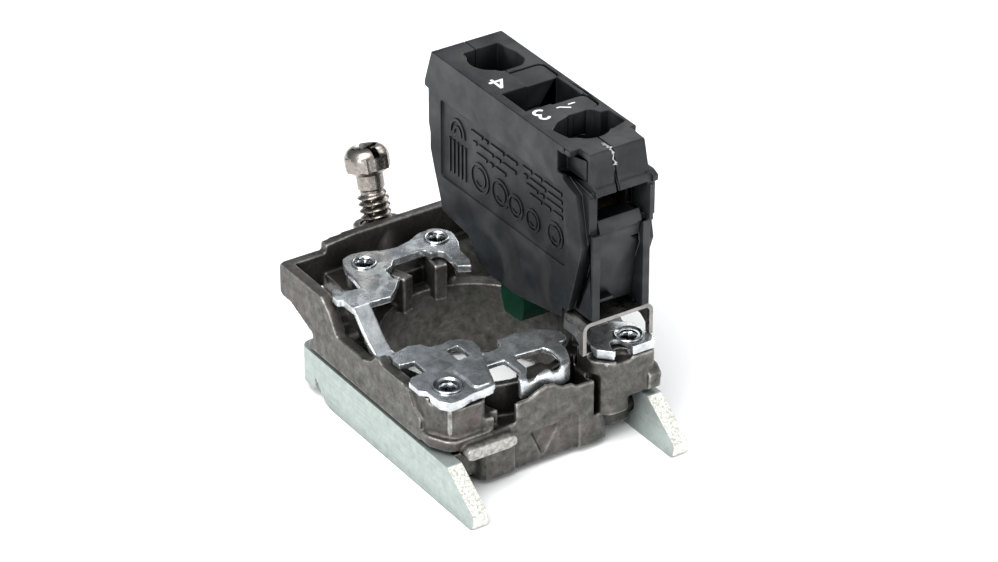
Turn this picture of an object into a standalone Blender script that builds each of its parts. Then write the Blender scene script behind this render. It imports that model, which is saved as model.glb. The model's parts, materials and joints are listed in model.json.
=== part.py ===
"""Panel push-button body: die-cast fixing collar with clamping yoke, retaining
plate, locking lever and one normally-open contact block.

Units while modelling are millimetres; every mesh is scaled to metres when it is
placed.  Frame: origin on the bore axis in the panel face, +Z away from the
panel, -Y the side the lever handle points to, +X the contact block's side.
"""
import bpy
import bmesh
import math
from mathutils import Matrix, Vector

# ---------------------------------------------------------------- dimensions
MM = 0.001
WIDTH = 30.0            # over the yoke arms
BORE_R = 11.25          # bore for the 22 mm button head
ARM_T = 2.0             # yoke sheet thickness
ARM_TOP, ARM_BOT = 5.2, -0.72
ARM_TIP_Y, ARM_REAR_Y = -23.05, 13.0
PIVOT_Y, PIVOT_Z = -13.4, 2.6      # trunnions the yoke rocks on
FRONT_Y = -15.8         # front face of the casting
WALL_IN_Y = -15.25      # inner face of the thin front wall
REAR_Y = 20.0           # rear wall, outer face
REAR_IN_Y = 18.7        # rear wall, inner face
SHEET = 0.7             # retaining plate thickness
PLATE_REAR_Z = 14.5     # top of the rear plate
PLATE_FRONT_Z = 12.3    # top of the front plates
RIVETS = {"rivet_rear_left": (-6.85, 13.65, PLATE_REAR_Z, 12.3),
          "rivet_rear_right": (3.65, 13.95, PLATE_REAR_Z, 12.3),
          "rivet_front_left": (-11.5, -12.2, PLATE_FRONT_Z, 10.2),
          "rivet_front_right": (12.4, -14.2, PLATE_FRONT_Z, 10.2)}
SCREW_TILT = math.radians(15.8)    # clamp screw leans away from the block
SCREW_BASE = (0.0, 21.7, 14.2)     # where its axis leaves the boss
SCREW_PITCH = 0.7
BLOCK_X0, BLOCK_X1 = 5.0, 15.0     # one 10 mm contact position
BLOCK_TOP = 38.25
BLOCK_SPLIT = 9.7
PLUNGER_Y = 1.65
BRIDGE_Z = 23.2         # underside of the moving bridge at rest
GAP = 0.06


# ------------------------------------------------------------------ helpers
def fillet(points, steps=3):
    """Outline from (u, v) or (u, v, radius) corners."""
    out = []
    n = len(points)
    for i, p in enumerate(points):
        r = p[2] if len(p) > 2 else 0.0
        c = Vector(p[:2])
        if r <= 0:
            out.append(c)
            continue
        a = (Vector(points[i - 1][:2]) - c)
        b = (Vector(points[(i + 1) % n][:2]) - c)
        la, lb = a.length, b.length
        a.normalize()
        b.normalize()
        half = a.angle(b) / 2.0
        if half > math.radians(88):
            out.append(c)
            continue
        d = min(r / math.tan(half), la * 0.49, lb * 0.49)
        rr = d * math.tan(half)
        m = c + (a + b).normalized() * (rr / math.sin(half))
        s = c + a * d - m
        e = c + b * d - m
        ang = s.angle_signed(e) * -1.0
        for k in range(steps + 1):
            t = ang * k / steps
            ct, st = math.cos(t), math.sin(t)
            out.append(m + Vector((s.x * ct - s.y * st, s.x * st + s.y * ct)))
    return out


def finish(bm, name):
    bmesh.ops.remove_doubles(bm, verts=bm.verts, dist=1e-4)
    bmesh.ops.recalc_face_normals(bm, faces=bm.faces)
    me = bpy.data.meshes.new(name)
    bm.to_mesh(me)
    bm.free()
    ob = bpy.data.objects.new(name, me)
    bpy.context.scene.collection.objects.link(ob)
    return ob


def lift(u, v, w, axis):
    if axis == "z":
        return (u, v, w)
    if axis == "x":
        return (w, u, v)
    return (u, w, v)


def prism(name, points, lo, hi, axis="z", steps=3, top=None):
    """Closed prism; axis z takes (x, y), axis x takes (y, z), axis y takes (x, z).
    top is an optional second outline with as many points, for a tapered prism."""
    base = fillet(points, steps)
    cap = fillet(top, steps) if top else base
    bm = bmesh.new()
    lower = [bm.verts.new(lift(p.x, p.y, lo, axis)) for p in base]
    upper = [bm.verts.new(lift(p.x, p.y, hi, axis)) for p in cap]
    n = len(base)
    bm.faces.new(lower)
    bm.faces.new(upper)
    for i in range(n):
        j = (i + 1) % n
        bm.faces.new((lower[i], lower[j], upper[j], upper[i]))
    return finish(bm, name)


def box(name, x0, x1, y0, y1, z0, z1):
    return prism(name, [(x0, y0), (x1, y0), (x1, y1), (x0, y1)], z0, z1)


def lathe(name, profile, seg=16, axis="z", at=(0, 0, 0), matrix=None):
    """Turned solid from a closed (r, h) profile; a profile touching r = 0 is capped."""
    bm = bmesh.new()
    rings = []
    for r, h in profile:
        if r < 1e-6:
            rings.append([bm.verts.new((0, 0, h))])
        else:
            rings.append([bm.verts.new((r * math.cos(2 * math.pi * k / seg),
                                        r * math.sin(2 * math.pi * k / seg), h))
                          for k in range(seg)])
    closed = profile[0][0] > 1e-6 and profile[-1][0] > 1e-6
    pairs = list(zip(rings, rings[1:]))
    if closed:
        pairs.append((rings[-1], rings[0]))
    for a, b in pairs:
        for k in range(seg):
            m = (k + 1) % seg
            if len(a) == 1 and len(b) == 1:
                continue
            if len(a) == 1:
                bm.faces.new((a[0], b[k], b[m]))
            elif len(b) == 1:
                bm.faces.new((a[k], b[0], a[m]))
            else:
                bm.faces.new((a[k], b[k], b[m], a[m]))
    turn = Matrix.Identity(4)
    if axis == "x":
        turn = Matrix.Rotation(math.radians(90), 4, "Y")
    elif axis == "y":
        turn = Matrix.Rotation(math.radians(-90), 4, "X")
    bm.transform(matrix if matrix else Matrix.Translation(at) @ turn)
    return finish(bm, name)


def disc(name, r, h0, h1, seg=24, axis="z", at=(0, 0, 0), matrix=None):
    return lathe(name, [(0, h0), (r, h0), (r, h1), (0, h1)], seg, axis, at, matrix)


def apply_boolean(a, b, kind):
    mod = a.modifiers.new(kind.lower(), "BOOLEAN")
    mod.operation = kind
    mod.solver = "EXACT"
    mod.object = b
    deps = bpy.context.evaluated_depsgraph_get()
    deps.update()
    me = bpy.data.meshes.new_from_object(a.evaluated_get(deps))
    old = a.data
    a.modifiers.clear()
    a.data = me
    bpy.data.meshes.remove(old)
    other = b.data
    bpy.data.objects.remove(b)
    bpy.data.meshes.remove(other)
    return a


def add(a, *others):
    for b in others:
        apply_boolean(a, b, "UNION")
    return a


def cut(a, *others):
    for b in others:
        apply_boolean(a, b, "DIFFERENCE")
    return a


def keep(a, b):
    return apply_boolean(a, b, "INTERSECT")


def threaded(name, r_root, r_crest, pitch, z0, z1, seg=16, per=4, extra=()):
    """Rod with a helical thread from z0 to z1; extra = (r, z) rings above and below:
    (below list, above list)."""
    below, above = extra if extra else ([], [])
    bm = bmesh.new()
    rows = []
    for r, z in below:
        rows.append([(r, z)] * seg)
    steps = max(2, int(round((z1 - z0) / pitch * per)))
    for i in range(steps + 1):
        z = z0 + (z1 - z0) * i / steps
        row = []
        for k in range(seg):
            phase = (z / pitch - k / seg) % 1.0
            tri = 1.0 - abs(2.0 * phase - 1.0)
            fade = min(1.0, (z - z0) / pitch, (z1 - z) / pitch)
            row.append((r_root + (r_crest - r_root) * max(0.0, min(1.0, tri * 1.3 - 0.1)) * max(fade, 0.0), z))
        rows.append(row)
    for r, z in above:
        rows.append([(r, z)] * seg)
    rings = [[bm.verts.new((r * math.cos(2 * math.pi * k / seg), r * math.sin(2 * math.pi * k / seg), z))
              for k, (r, z) in enumerate(row)] for row in rows]
    bm.faces.new(rings[0])
    bm.faces.new(rings[-1])
    for a, b in zip(rings, rings[1:]):
        for k in range(seg):
            m = (k + 1) % seg
            bm.faces.new((a[k], b[k], b[m], a[m]))
    return finish(bm, name)


def coil(name, radius, wire, z0, z1, turns, seg=14, sides=6, at=(0, 0, 0)):
    """Closed helical spring with flat-lying end turns."""
    bm = bmesh.new()
    n = int(turns * seg)
    rings = []
    for i in range(n + 1):
        t = i / n
        a = 2 * math.pi * turns * t
        s = min(max((t * turns - 0.8) / (turns - 1.6), 0.0), 1.0)
        lead = wire * 1.15 * (min(t * turns, 0.8) + max(0.0, t * turns - (turns - 0.8)))
        free = (z1 - z0 - wire) - wire * 1.15 * 1.6
        z = z0 + wire / 2 + lead + free * s
        c = Vector((radius * math.cos(a), radius * math.sin(a), z))
        ring = []
        for k in range(sides):
            b = 2 * math.pi * k / sides
            ring.append(bm.verts.new((c.x + wire / 2 * math.cos(b) * math.cos(a) + at[0],
                                      c.y + wire / 2 * math.cos(b) * math.sin(a) + at[1],
                                      c.z + wire / 2 * math.sin(b) + at[2])))
        rings.append(ring)
    bm.faces.new(rings[0])
    bm.faces.new(rings[-1])
    for a, b in zip(rings, rings[1:]):
        for k in range(sides):
            m = (k + 1) % sides
            bm.faces.new((a[k], b[k], b[m], a[m]))
    return finish(bm, name)


# ------------------------------------------------------------ fixing collar
def build_collar():
    # lower body between the yoke arms, reaching forward to the arrow panel
    body = prism("collar_casting", [
        (-8.9, FRONT_Y, 1.6), (8.4, FRONT_Y, 1.6), (9.4, -13.3, 0.6), (12.6, -11.4, 0.8),
        (12.6, 13.6, 0.6), (-12.6, 13.6, 0.6), (-12.6, -11.4, 0.8), (-9.9, -13.3, 0.6)], 0.0, 8.6)
    parts = []
    # side walls, thicker at the foot
    left_wall = [(19.9, 9.8, 0.8), (17.4, 9.8), (12.6, 8.0), (12.4, 7.4, 0.3), (13.3, 6.6, 0.4),
                 (13.5, 5.7), (-11.4, 5.7), (-11.6, 8.5), (-10.1, 9.4, 0.4), (-9.0, 11.3, 0.5), (-7.6, 11.55),
                 (-3.4, 11.55, 0.6), (-2.1, 12.2, 0.6), (-0.9, 11.0, 0.6), (1.2, 10.2, 0.8), (6.9, 10.2, 0.5),
                 (8.6, 12.7, 0.4), (10.3, 14.1, 0.8), (19.9, 14.1, 0.5)]
    parts.append(prism("w1", left_wall, -14.95, -13.5, "x"))
    parts.append(prism("w2", left_wall, 13.5, 14.95, "x"))
    # shoulders that carry the side walls over the arms
    parts.append(box("s1", -13.6, -11.5, -11.4, 13.6, 5.7, 8.6))
    parts.append(box("s2", 11.5, 13.6, -11.4, 13.6, 5.7, 8.6))
    # rear wall with its step and the undercut below it
    parts.append(prism("rw", [(-14.9, 9.9), (-14.9, 14.1, 0.6), (-9.15, 14.1), (-9.05, 15.2, 0.3), (-5.0, 15.6, 2.0),
                              (14.9, 15.6, 0.6), (14.9, 9.9)], REAR_IN_Y, REAR_Y, "y"))
    parts.append(prism("floor", [(13.0, 5.9), (13.4, 6.6), (12.6, 8.0), (17.4, 9.8), (19.9, 9.8),
                                 (19.9, 10.8), (17.2, 10.8), (11.2, 8.2), (11.2, 5.9)], -14.2, 14.2, "x"))
    # ring around the bore and the posts the plates are staked to
    parts.append(prism("ring", [(13.2 * math.cos(math.radians(a)), 13.2 * math.sin(math.radians(a)))
                                for a in range(0, 360, 12)], 8.0, 9.6))
    for key in ("rivet_rear_left", "rivet_rear_right"):
        parts.append(disc("post", 2.2, 8.0, 13.5, 20, at=(RIVETS[key][0], RIVETS[key][1], 0)))
    parts.append(box("web1", -9.6, 5.6, 13.6, 18.8, 8.0, 11.4))
    # pillars standing in the rear of the bore, and a key in its front
    for ang, r0, w, z1 in ((109.0, 10.0, 0.8, 13.45), (80.5, 9.85, 0.85, 13.45), (-84.0, 10.05, 1.9, 9.6)):
        p = prism("pil", [(-w, r0), (w, r0), (w, 13.0), (-w, 13.0)], 8.6, z1)
        p.data.transform(Matrix.Rotation(math.radians(ang - 90.0), 4, "Z"))
        parts.append(p)
    # front-left post with its stepped foot and the lug in front
    parts.append(prism("post_l", [(-14.6, -8.0), (-14.4, -12.4, 2.4), (-12.6, -15.5, 2.2), (-8.2, -15.5, 1.2),
                                  (-7.6, -12.6, 1.0), (-9.4, -8.0)], 6.6, 11.52, steps=4))
    parts.append(prism("foot_l", [(-14.9, -8.0), (-14.9, -13.2, 2.0), (-13.4, -16.0, 1.6), (-7.4, -16.0, 0.8),
                                  (-7.0, -12.0), (-9.4, -8.0)], 5.75, 7.1, steps=4))
    parts.append(prism("lug_l", [(-12.2, 4.85, 0.7), (-12.2, 6.4, 0.7), (-5.3, 6.4, 0.7), (-5.3, 4.85, 0.7)],
                       -17.5, -13.0, "y"))
    # front wall with the wavy top that follows the lever handle
    parts.append(prism("wave", [(-4.4, 7.5), (-4.4, 9.15, 0.3), (-2.5, 9.3, 0.5), (-1.1, 10.0, 0.8), (-0.1, 10.3, 0.8),
                                (1.0, 10.1, 0.8), (2.1, 9.35, 0.8), (3.5, 9.3, 0.4), (4.2, 8.8, 0.3), (7.6, 8.7),
                                (7.6, 7.5)], FRONT_Y, WALL_IN_Y, "y"))
    # front-right post: square block and round column
    parts.append(prism("post_r", [(10.4, -16.9), (14.5, -16.9, 0.5), (14.5, -8.0), (8.0, -8.0)], 5.75, 11.52))
    parts.append(prism("col_r", [(6.6, -12.0), (6.6, -15.2, 1.2), (8.2, -16.9, 1.0), (11.0, -16.9, 0.8), (11.0, -12.0)],
                       3.8, 11.52, steps=4))
    parts.append(prism("ear_r", [(-17.4, 6.1, 0.2), (-17.5, 8.0, 0.5), (-16.6, 8.9, 0.4), (-9.0, 8.9), (-9.0, 5.75), (-16.9, 5.75)],
                       13.2, 14.95, "x"))
    # boss of the clamp screw, leaning with it
    lean = Matrix.Translation(SCREW_BASE) @ Matrix.Rotation(-SCREW_TILT, 4, "X")
    parts.append(disc("boss", 3.0, -6.2, 0.2, 28, matrix=lean))
    # trunnions the yoke arms rock on
    parts.append(disc("t1", 1.2, 12.0, 13.85, 16, "x", (0, PIVOT_Y, PIVOT_Z)))
    parts.append(disc("t2", 1.2, -13.85, -12.0, 16, "x", (0, PIVOT_Y, PIVOT_Z)))
    parts.append(prism("tb1", [(9.0, -11.0), (9.0, -14.6, 0.6), (12.7, -14.6, 0.6), (12.7, -11.0)], 0.9, 4.4))
    parts.append(prism("tb2", [(-9.0, -11.0), (-9.0, -14.6, 0.6), (-12.7, -14.6, 0.6), (-12.7, -11.0)], 0.9, 4.4))
    # cast step between the left wall and the plate's strip
    parts.append(prism("step", [(10.6, 8.0), (10.6, 13.2), (10.2, 13.1, 0.3), (9.3, 11.2), (9.2, 10.0, 0.2), (8.6, 9.75, 0.2),
                                (7.2, 9.75, 0.3), (6.8, 8.9), (6.6, 8.0)], -13.7, -11.6, "x"))
    ribs = [parts.pop(i) for i in reversed([i for i, q in enumerate(parts) if q.name.startswith("pil")])]
    add(body, *parts)
    holes = [disc("bore", BORE_R, -1.0, 9.9, 64),
             disc("bore2", 11.9, 9.55, 16.0, 64),
             # pocket between the bore ring and the front wall, under the lever
             cut(prism("pocket", [(-8.0, -9.0), (-6.6, -13.6), (-6.0, WALL_IN_Y), (6.3, WALL_IN_Y), (6.3, -12.0),
                                  (7.6, -9.0)], 5.4, 14.0), disc("core", 12.4, 4.0, 16.0, 48)),
             # room for the plunger's foot
             box("foot_room", 6.0, 16.0, PLUNGER_Y - 3.0, PLUNGER_Y + 3.0, 8.6, 13.5),
             # arrow panel let into the front face: field, chamfer above it, sunk triangle, two upright grooves
             box("panel", -4.12, 4.12, FRONT_Y - 2.0, FRONT_Y + 0.35, -1.0, 4.3),
             prism("chamfer", [(-17.0, 4.2), (-15.44, 4.2), (-15.78, 5.7), (-17.0, 5.7)], -4.11, 4.11, "x"),
             prism("vee", [(-2.15, 4.45), (1.7, 4.45), (-0.5, 0.75)], FRONT_Y - 2.0, FRONT_Y + 0.75, "y"),
             box("g1", -4.45, -4.1, FRONT_Y - 2.0, FRONT_Y + 0.6, -1.0, 4.75),
             box("g2", 4.1, 4.4, FRONT_Y - 2.0, FRONT_Y + 0.6, -1.0, 4.9),
             # deep gap between the front wall and the right column
             prism("gap_r", [(6.4, -13.8), (7.3, -14.2), (7.3, -18.0), (6.9, -18.0)], 3.9, 9.2),
             # gaps beside the front wall
             prism("gap_l", [(-7.4, -14.7), (-4.4, -14.7), (-4.4, -17.6), (-7.4, -17.6)], 6.6, 12.0),
             # rebates for the turned-down lips of the sheet plates
             prism("reb1", [(-15.6, -12.3), (-13.44, -12.3), (-13.34, -14.2), (-12.86, -14.84), (-11.7, -14.84),
                            (-10.2, -14.39), (-8.5, -14.34), (-6.0, -14.1), (-6.0, -17.5), (-15.6, -17.5)], 11.0, 12.5),
             prism("reb2", [(6.0, -14.1), (8.1, -14.1), (8.1, -14.8), (8.92, -15.64), (9.1, -15.64), (9.1, -17.5),
                            (6.0, -17.5)], 11.0, 12.5),
             prism("reb3", [(11.2, -16.04), (15.5, -16.04), (15.5, -17.5), (11.2, -17.5)], 11.0, 12.5),
             # floor hollow between the rear wall and the posts
             prism("hollow", [(-13.2, 10.6, 0.8), (-10.2, 12.5), (-9.4, 16.9, 0.6), (-9.4, 18.65), (-13.3, 18.65)], 9.4, 14.0)]
    cut(body, *holes)
    add(body, *ribs)
    # half-round groove in the front of the right post
    cut(body, disc("groove", 1.25, 10.7, 12.0, 20, at=(10.1, -16.2, 0)))
    # holes for the rivets and the screw
    for name, (x, y, z, zb) in RIVETS.items():
        cut(body, disc("h", 1.2, zb - 1.8, 15.0, 16, at=(x, y, 0)))
    # undercut of the rear wall over the yoke, then the tapped hole
    cut(body, box("under", -3.37, 3.41, 13.71, 24.0, -1.0, 8.93))
    cut(body, disc("tap", 1.72, -9.0, 2.0, 20, matrix=lean @ Matrix.Rotation(0.11, 4, "Z")))
    return body


# ---------------------------------------------------------------- sheet metal
def build_plate():
    t = SHEET
    z1 = PLATE_REAR_Z
    plate = prism("retaining_plate", [
        (-8.9, 15.2), (-8.5, 15.9, 0.5), (-7.2, 16.4, 0.8), (-5.4, 16.1, 0.8), (-3.5, 15.2, 1.0), (-1.6, 14.8, 1.0),
        (0.6, 15.3, 1.0), (2.4, 16.2, 1.4), (4.9, 16.4, 1.4), (6.1, 14.4, 1.6), (5.5, 12.0, 0.8), (4.5, 10.0), (4.2, 7.4),
        (3.6, 6.2), (2.2, 7.0), (2.5, 8.8), (2.6, 10.6, 0.4), (2.1, 11.3, 0.3), (1.1, 11.2, 0.3), (0.9, 12.4, 0.3),
        (-3.5, 12.4, 0.3), (-4.4, 11.3), (-5.5, 10.9), (-5.8, 8.9), (-4.9, 8.7), (-6.4, 7.0), (-7.5, 5.9), (-8.2, 5.4),
        (-11.0, 5.6), (-13.42, 5.6), (-13.42, 7.7, 0.2), (-14.0, 7.9, 0.2), (-14.05, 9.3, 0.2), (-13.42, 9.35),
        (-13.4, 10.4, 0.2), (-12.6, 10.4, 0.2), (-12.5, 9.4), (-10.1, 8.95), (-9.6, 11.7), (-9.3, 14.0)],
        z1 - 0.9, z1, steps=2)
    front_top = PLATE_FRONT_Z
    front = prism("f", [
        (-13.42, -3.3), (-13.3, -2.9), (-11.8, -2.4, 0.2), (-10.6, -2.15, 0.4), (-9.2, -2.6, 0.3), (-8.6, -3.7, 0.4),
        (-7.3, -4.0, 0.4), (-5.8, -3.75, 0.6), (-4.4, -4.3, 0.6), (-3.65, -5.4, 0.6), (-3.7, -7.0, 0.3), (-4.7, -9.3),
        (-5.1, -10.6, 0.6), (-6.1, -13.4, 0.6), (-6.6, -14.8, 0.3), (-8.5, -15.1, 0.5), (-10.1, -15.15, 0.5),
        (-11.8, -15.6, 0.5), (-13.3, -15.6, 0.6), (-14.05, -14.5), (-14.2, -12.0, 0.3), (-14.85, -11.3, 0.2),
        (-14.8, -9.0), (-14.0, -8.3), (-11.9, -8.0), (-11.8, -5.5), (-13.7, -5.2), (-13.7, -3.7), (-13.42, -3.6)],
        front_top - t, front_top, steps=2)
    # lip turned down along the front edge
    lip = prism("lip", [
        (-14.15, -12.4), (-14.02, -14.47), (-13.26, -15.57, 0.6), (-11.82, -15.57, 0.5), (-10.12, -15.12, 0.5),
        (-8.5, -15.07, 0.5), (-6.66, -14.78, 0.3), (-6.8, -14.18), (-8.5, -14.4), (-10.2, -14.45), (-11.7, -14.9), (-12.9, -14.9, 0.3),
        (-13.4, -14.2), (-13.5, -12.4)], 11.1, front_top - 0.2, steps=2)
    # shallow step pressed up beside the front eyelet
    pad = prism("pad", [(-9.3, -9.9, 0.5), (-8.3, -9.4, 0.5), (-5.4, -9.9, 0.3), (-5.8, -11.4), (-6.6, -13.8, 0.4),
                        (-7.1, -14.4, 0.3), (-9.2, -14.4, 0.5), (-9.0, -12.2)], front_top - 0.2, front_top + 0.22, steps=2)
    # leg that steps down steeply from the rear plate and up again to the front one
    leg = prism("s", [(6.9, z1 - 0.9), (6.9, z1 - 0.02), (5.7, z1 - 0.02, 0.6), (4.6, 13.6), (2.9, 11.95), (1.9, 11.1, 0.6),
                      (0.8, 10.5, 0.4), (-0.5, 10.45, 0.4), (-1.4, 10.9, 0.4), (-2.3, 12.1, 0.3), (-2.9, front_top - 0.02),
                      (-3.5, front_top - 0.02), (-3.5, front_top - t), (-2.9, 11.55, 0.3), (-1.9, 10.3, 0.4),
                      (-1.0, 9.72, 0.3), (0.9, 9.76, 0.5), (2.2, 10.4, 0.5), (4.4, 12.5), (5.2, 13.4, 0.3), (5.5, z1 - 0.9)],
                -13.39, -11.03, "x", steps=2)
    add(plate, front, lip, pad, leg)
    cut(plate, prism("sq", [(-7.45, -5.4), (-5.75, -5.2), (-5.6, -7.8), (-7.3, -8.1)], 10.0, 14.0))
    for key in ("rivet_rear_left", "rivet_rear_right", "rivet_front_left"):
        x, y, z, zb = RIVETS[key]
        cut(plate, disc("h", 1.25, 8.0, 17.0, 16, at=(x, y, 0)))
    return plate


def build_catch():
    t = SHEET
    z1 = PLATE_FRONT_Z
    p = prism("catch_plate", [
        (7.3, -13.9), (7.35, -15.0, 0.2), (8.75, -16.5, 0.2), (9.0, -16.5), (9.0, -15.9), (9.4, -14.6, 0.5), (10.2, -14.1, 0.8),
        (11.0, -14.6, 0.5), (11.3, -15.9), (11.3, -16.75), (14.6, -16.75, 0.2), (14.8, -15.2, 0.8), (14.4, -12.0, 1.0),
        (12.6, -10.6, 0.6), (9.2, -10.6), (7.9, -12.0)], z1 - t, z1, steps=2)
    add(p, prism("l1", [(7.32, -14.2), (7.36, -14.98), (8.76, -16.48), (8.98, -16.48), (8.98, -15.72), (8.85, -15.72),
                        (8.02, -14.82), (8.02, -14.2)], 11.1, z1 - 0.2),
        prism("l2", [(11.32, -16.12), (11.32, -16.73), (14.35, -16.73), (14.62, -16.12)], 11.1, z1 - 0.2))
    x, y, z, zb = RIVETS["rivet_front_right"]
    cut(p, disc("h", 1.25, 8.0, 17.0, 16, at=(x, y, 0)))
    return p


def build_rivet(name, seg=20):
    x, y, z, zb = RIVETS[name]
    r = 1.85 if "front" in name else 1.55
    p = [(1.12, zb - 1.0), (1.12, z + 0.03), (r - 0.03, z + 0.03), (r, z + 0.12), (r - 0.12, z + 0.24), (r - 0.3, z + 0.24),
         (1.12, z + 0.0), (0.92, z - 0.35), (0.78, z - 0.75), (0.74, zb - 1.0)]
    return lathe(name, p, seg, at=(x, y, 0))


def build_lever():
    """Flat blade under the retaining plate, with a loop handle turned down at the front."""
    t = 0.7
    z1 = 11.4
    lever = prism("locking_lever", [
        (-5.7, -8.2, 0.4), (-5.7, -9.6, 0.3), (-2.15, -9.7), (4.2, -9.6), (6.9, -9.9, 0.6), (7.0, -7.7, 0.8),
        (4.4, -5.5, 0.8), (1.8, -5.2, 0.6), (-0.4, -5.5), (-0.8, -6.9, 0.3), (-3.5, -7.4)], z1 - t, z1, steps=2)
    handle = prism("flat", [(-2.15, -9.0), (-2.15, -13.0, 0.5), (-3.1, -14.0, 0.3), (-3.1, -14.75), (2.9, -14.75, 0.8),
                            (4.1, -14.3, 0.8), (4.9, -13.0, 1.0), (5.6, -11.3, 1.5), (5.4, -9.0)], z1 - t, z1, steps=3)
    apron = prism("apron", [(-3.1, -14.06), (-3.1, -14.75), (2.9, -14.75, 0.8), (4.1, -14.3, 0.8), (4.68, -13.4),
                            (4.05, -13.1), (3.6, -13.7, 0.4), (2.8, -14.06, 0.4)], 8.75, z1 - 0.3, steps=3)
    add(lever, handle, apron)
    # bend rounded over at the front
    cut(lever, prism("bend", [(-14.2, z1 + 0.3), (-14.2, z1, 0.0), (-14.62, z1 - 0.17), (-14.76, z1 - 0.6), (-15.2, z1 - 0.6),
                              (-15.2, z1 + 0.3)], -4.0, 2.9, "x"))
    window = [(-0.7, -9.55, 0.2), (3.2, -9.9, 0.4), (3.65, -11.2, 0.5), (3.45, -13.2, 0.3), (2.7, -14.2), (2.3, -15.2),
              (1.45, -15.2), (1.35, -14.0, 0.2), (0.9, -13.8, 0.2), (-0.7, -14.3), (-1.3, -15.2), (-2.2, -15.2),
              (-1.8, -13.9), (-0.75, -12.6, 0.3)]
    cut(lever, prism("w1", window, 10.86, 13.0, steps=2),
        keep(prism("w2", window, 9.9, 13.0, steps=2), box("w3", -6.0, 6.0, -14.0, -5.0, 9.0, 14.0)))
    return lever


def build_yoke():
    arm = [(ARM_REAR_Y, ARM_TOP, 0.3), (-17.4, ARM_TOP, 0.3), (ARM_TIP_Y, 1.25, 0.5), (ARM_TIP_Y + 0.35, ARM_BOT, 0.8),
           (9.3, ARM_BOT, 3.5), (ARM_REAR_Y, 3.2, 1.5)]
    left = prism("clamp_yoke", arm, -15.0, -15.0 + ARM_T, "x")
    right = prism("r", arm, 15.0 - ARM_T, 15.0, "x")
    bridge = prism("bridge", [(-15.0, 12.0), (-15.0, 15.4, 1.3), (15.0, 15.4, 1.3), (15.0, 12.0), (13.0, 12.0),
                              (13.0, 14.0, 0.3), (-13.0, 14.0, 0.3), (-13.0, 12.0)], 0.4, ARM_TOP)
    tongue = prism("tongue", [(-3.0, 15.0), (-3.0, 21.3, 1.6), (3.0, 21.3, 1.6), (3.0, 15.0)], 3.2, 5.2)
    yoke = add(left, right, bridge, tongue)
    cut(yoke, prism("slot", [(-1.35, 16.2, 1.3), (1.35, 16.2, 1.3), (1.35, 20.5, 1.3), (-1.35, 20.5, 1.3)], 2.0, 7.0))
    for s in (-1, 1):
        cut(yoke, disc("hole", 1.35, min(s * 12.5, s * 14.1), max(s * 12.5, s * 14.1), 16, "x", (0, PIVOT_Y, PIVOT_Z)))
    return yoke


# ------------------------------------------------------------------ fasteners
def screw_frame():
    return Matrix.Translation(SCREW_BASE) @ Matrix.Rotation(-SCREW_TILT, 4, "X")


def build_clamp_screw(seg=16, per=3):
    """Combination-head screw; local z runs along its axis, 0 at the boss face."""
    s = threaded("clamp_screw", 1.22, 1.62, SCREW_PITCH, -8.3, 4.3, seg, per,
                 ([(1.0, -12.85), (1.0, -8.85), (1.22, -8.6)], [(1.45, 4.6), (1.45, 6.5)]))
    head = lathe("head", [(0, 6.3), (1.7, 6.3), (2.5, 7.3), (2.5, 8.2), (2.15, 8.9), (1.2, 9.25), (0, 9.3)], seg)
    flats = prism("hexa", [(2.62 * math.cos(math.radians(a)), 2.62 * math.sin(math.radians(a)))
                           for a in range(0, 360, 60)], 6.6, 8.5)
    head = add(head, flats)
    s = add(s, head)
    cut(s, box("sl1", -0.35, 0.35, -3.0, 3.0, 8.3, 10.0))
    cut(s, box("sl2", -1.5, 1.5, -0.35, 0.35, 7.6, 10.0))
    s.data.transform(screw_frame())
    return s


def build_end_washer(seg=20):
    w = lathe("screw_end_washer", [(1.06, -12.75), (1.9, -12.75), (1.9, -12.15), (1.06, -12.15)], seg)
    w.data.transform(screw_frame())
    return w


# -------------------------------------------------------------- contact block
def block_outline():
    return [(17.0, BLOCK_TOP, 0.2), (18.6, 33.7, 0.3), (18.6, 33.0, 0.2), (17.75, 32.9), (17.75, 28.4), (17.4, 27.1), (17.4, 25.0),
            (16.5, 22.3), (15.3, 19.2), (14.7, 17.5, 0.3), (9.1, 16.9), (8.1, 15.9), (6.6, 14.2, 0.5), (4.2, 13.7),
            (-1.2, 13.7), (-11.7, 15.7, 0.3), (-15.3, 25.3, 0.3), (-13.7, 33.0), (-11.0, 34.2, 0.3), (-11.4, BLOCK_TOP, 0.2)]


TERMINALS = {"front": -8.3, "rear": 11.6}


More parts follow.
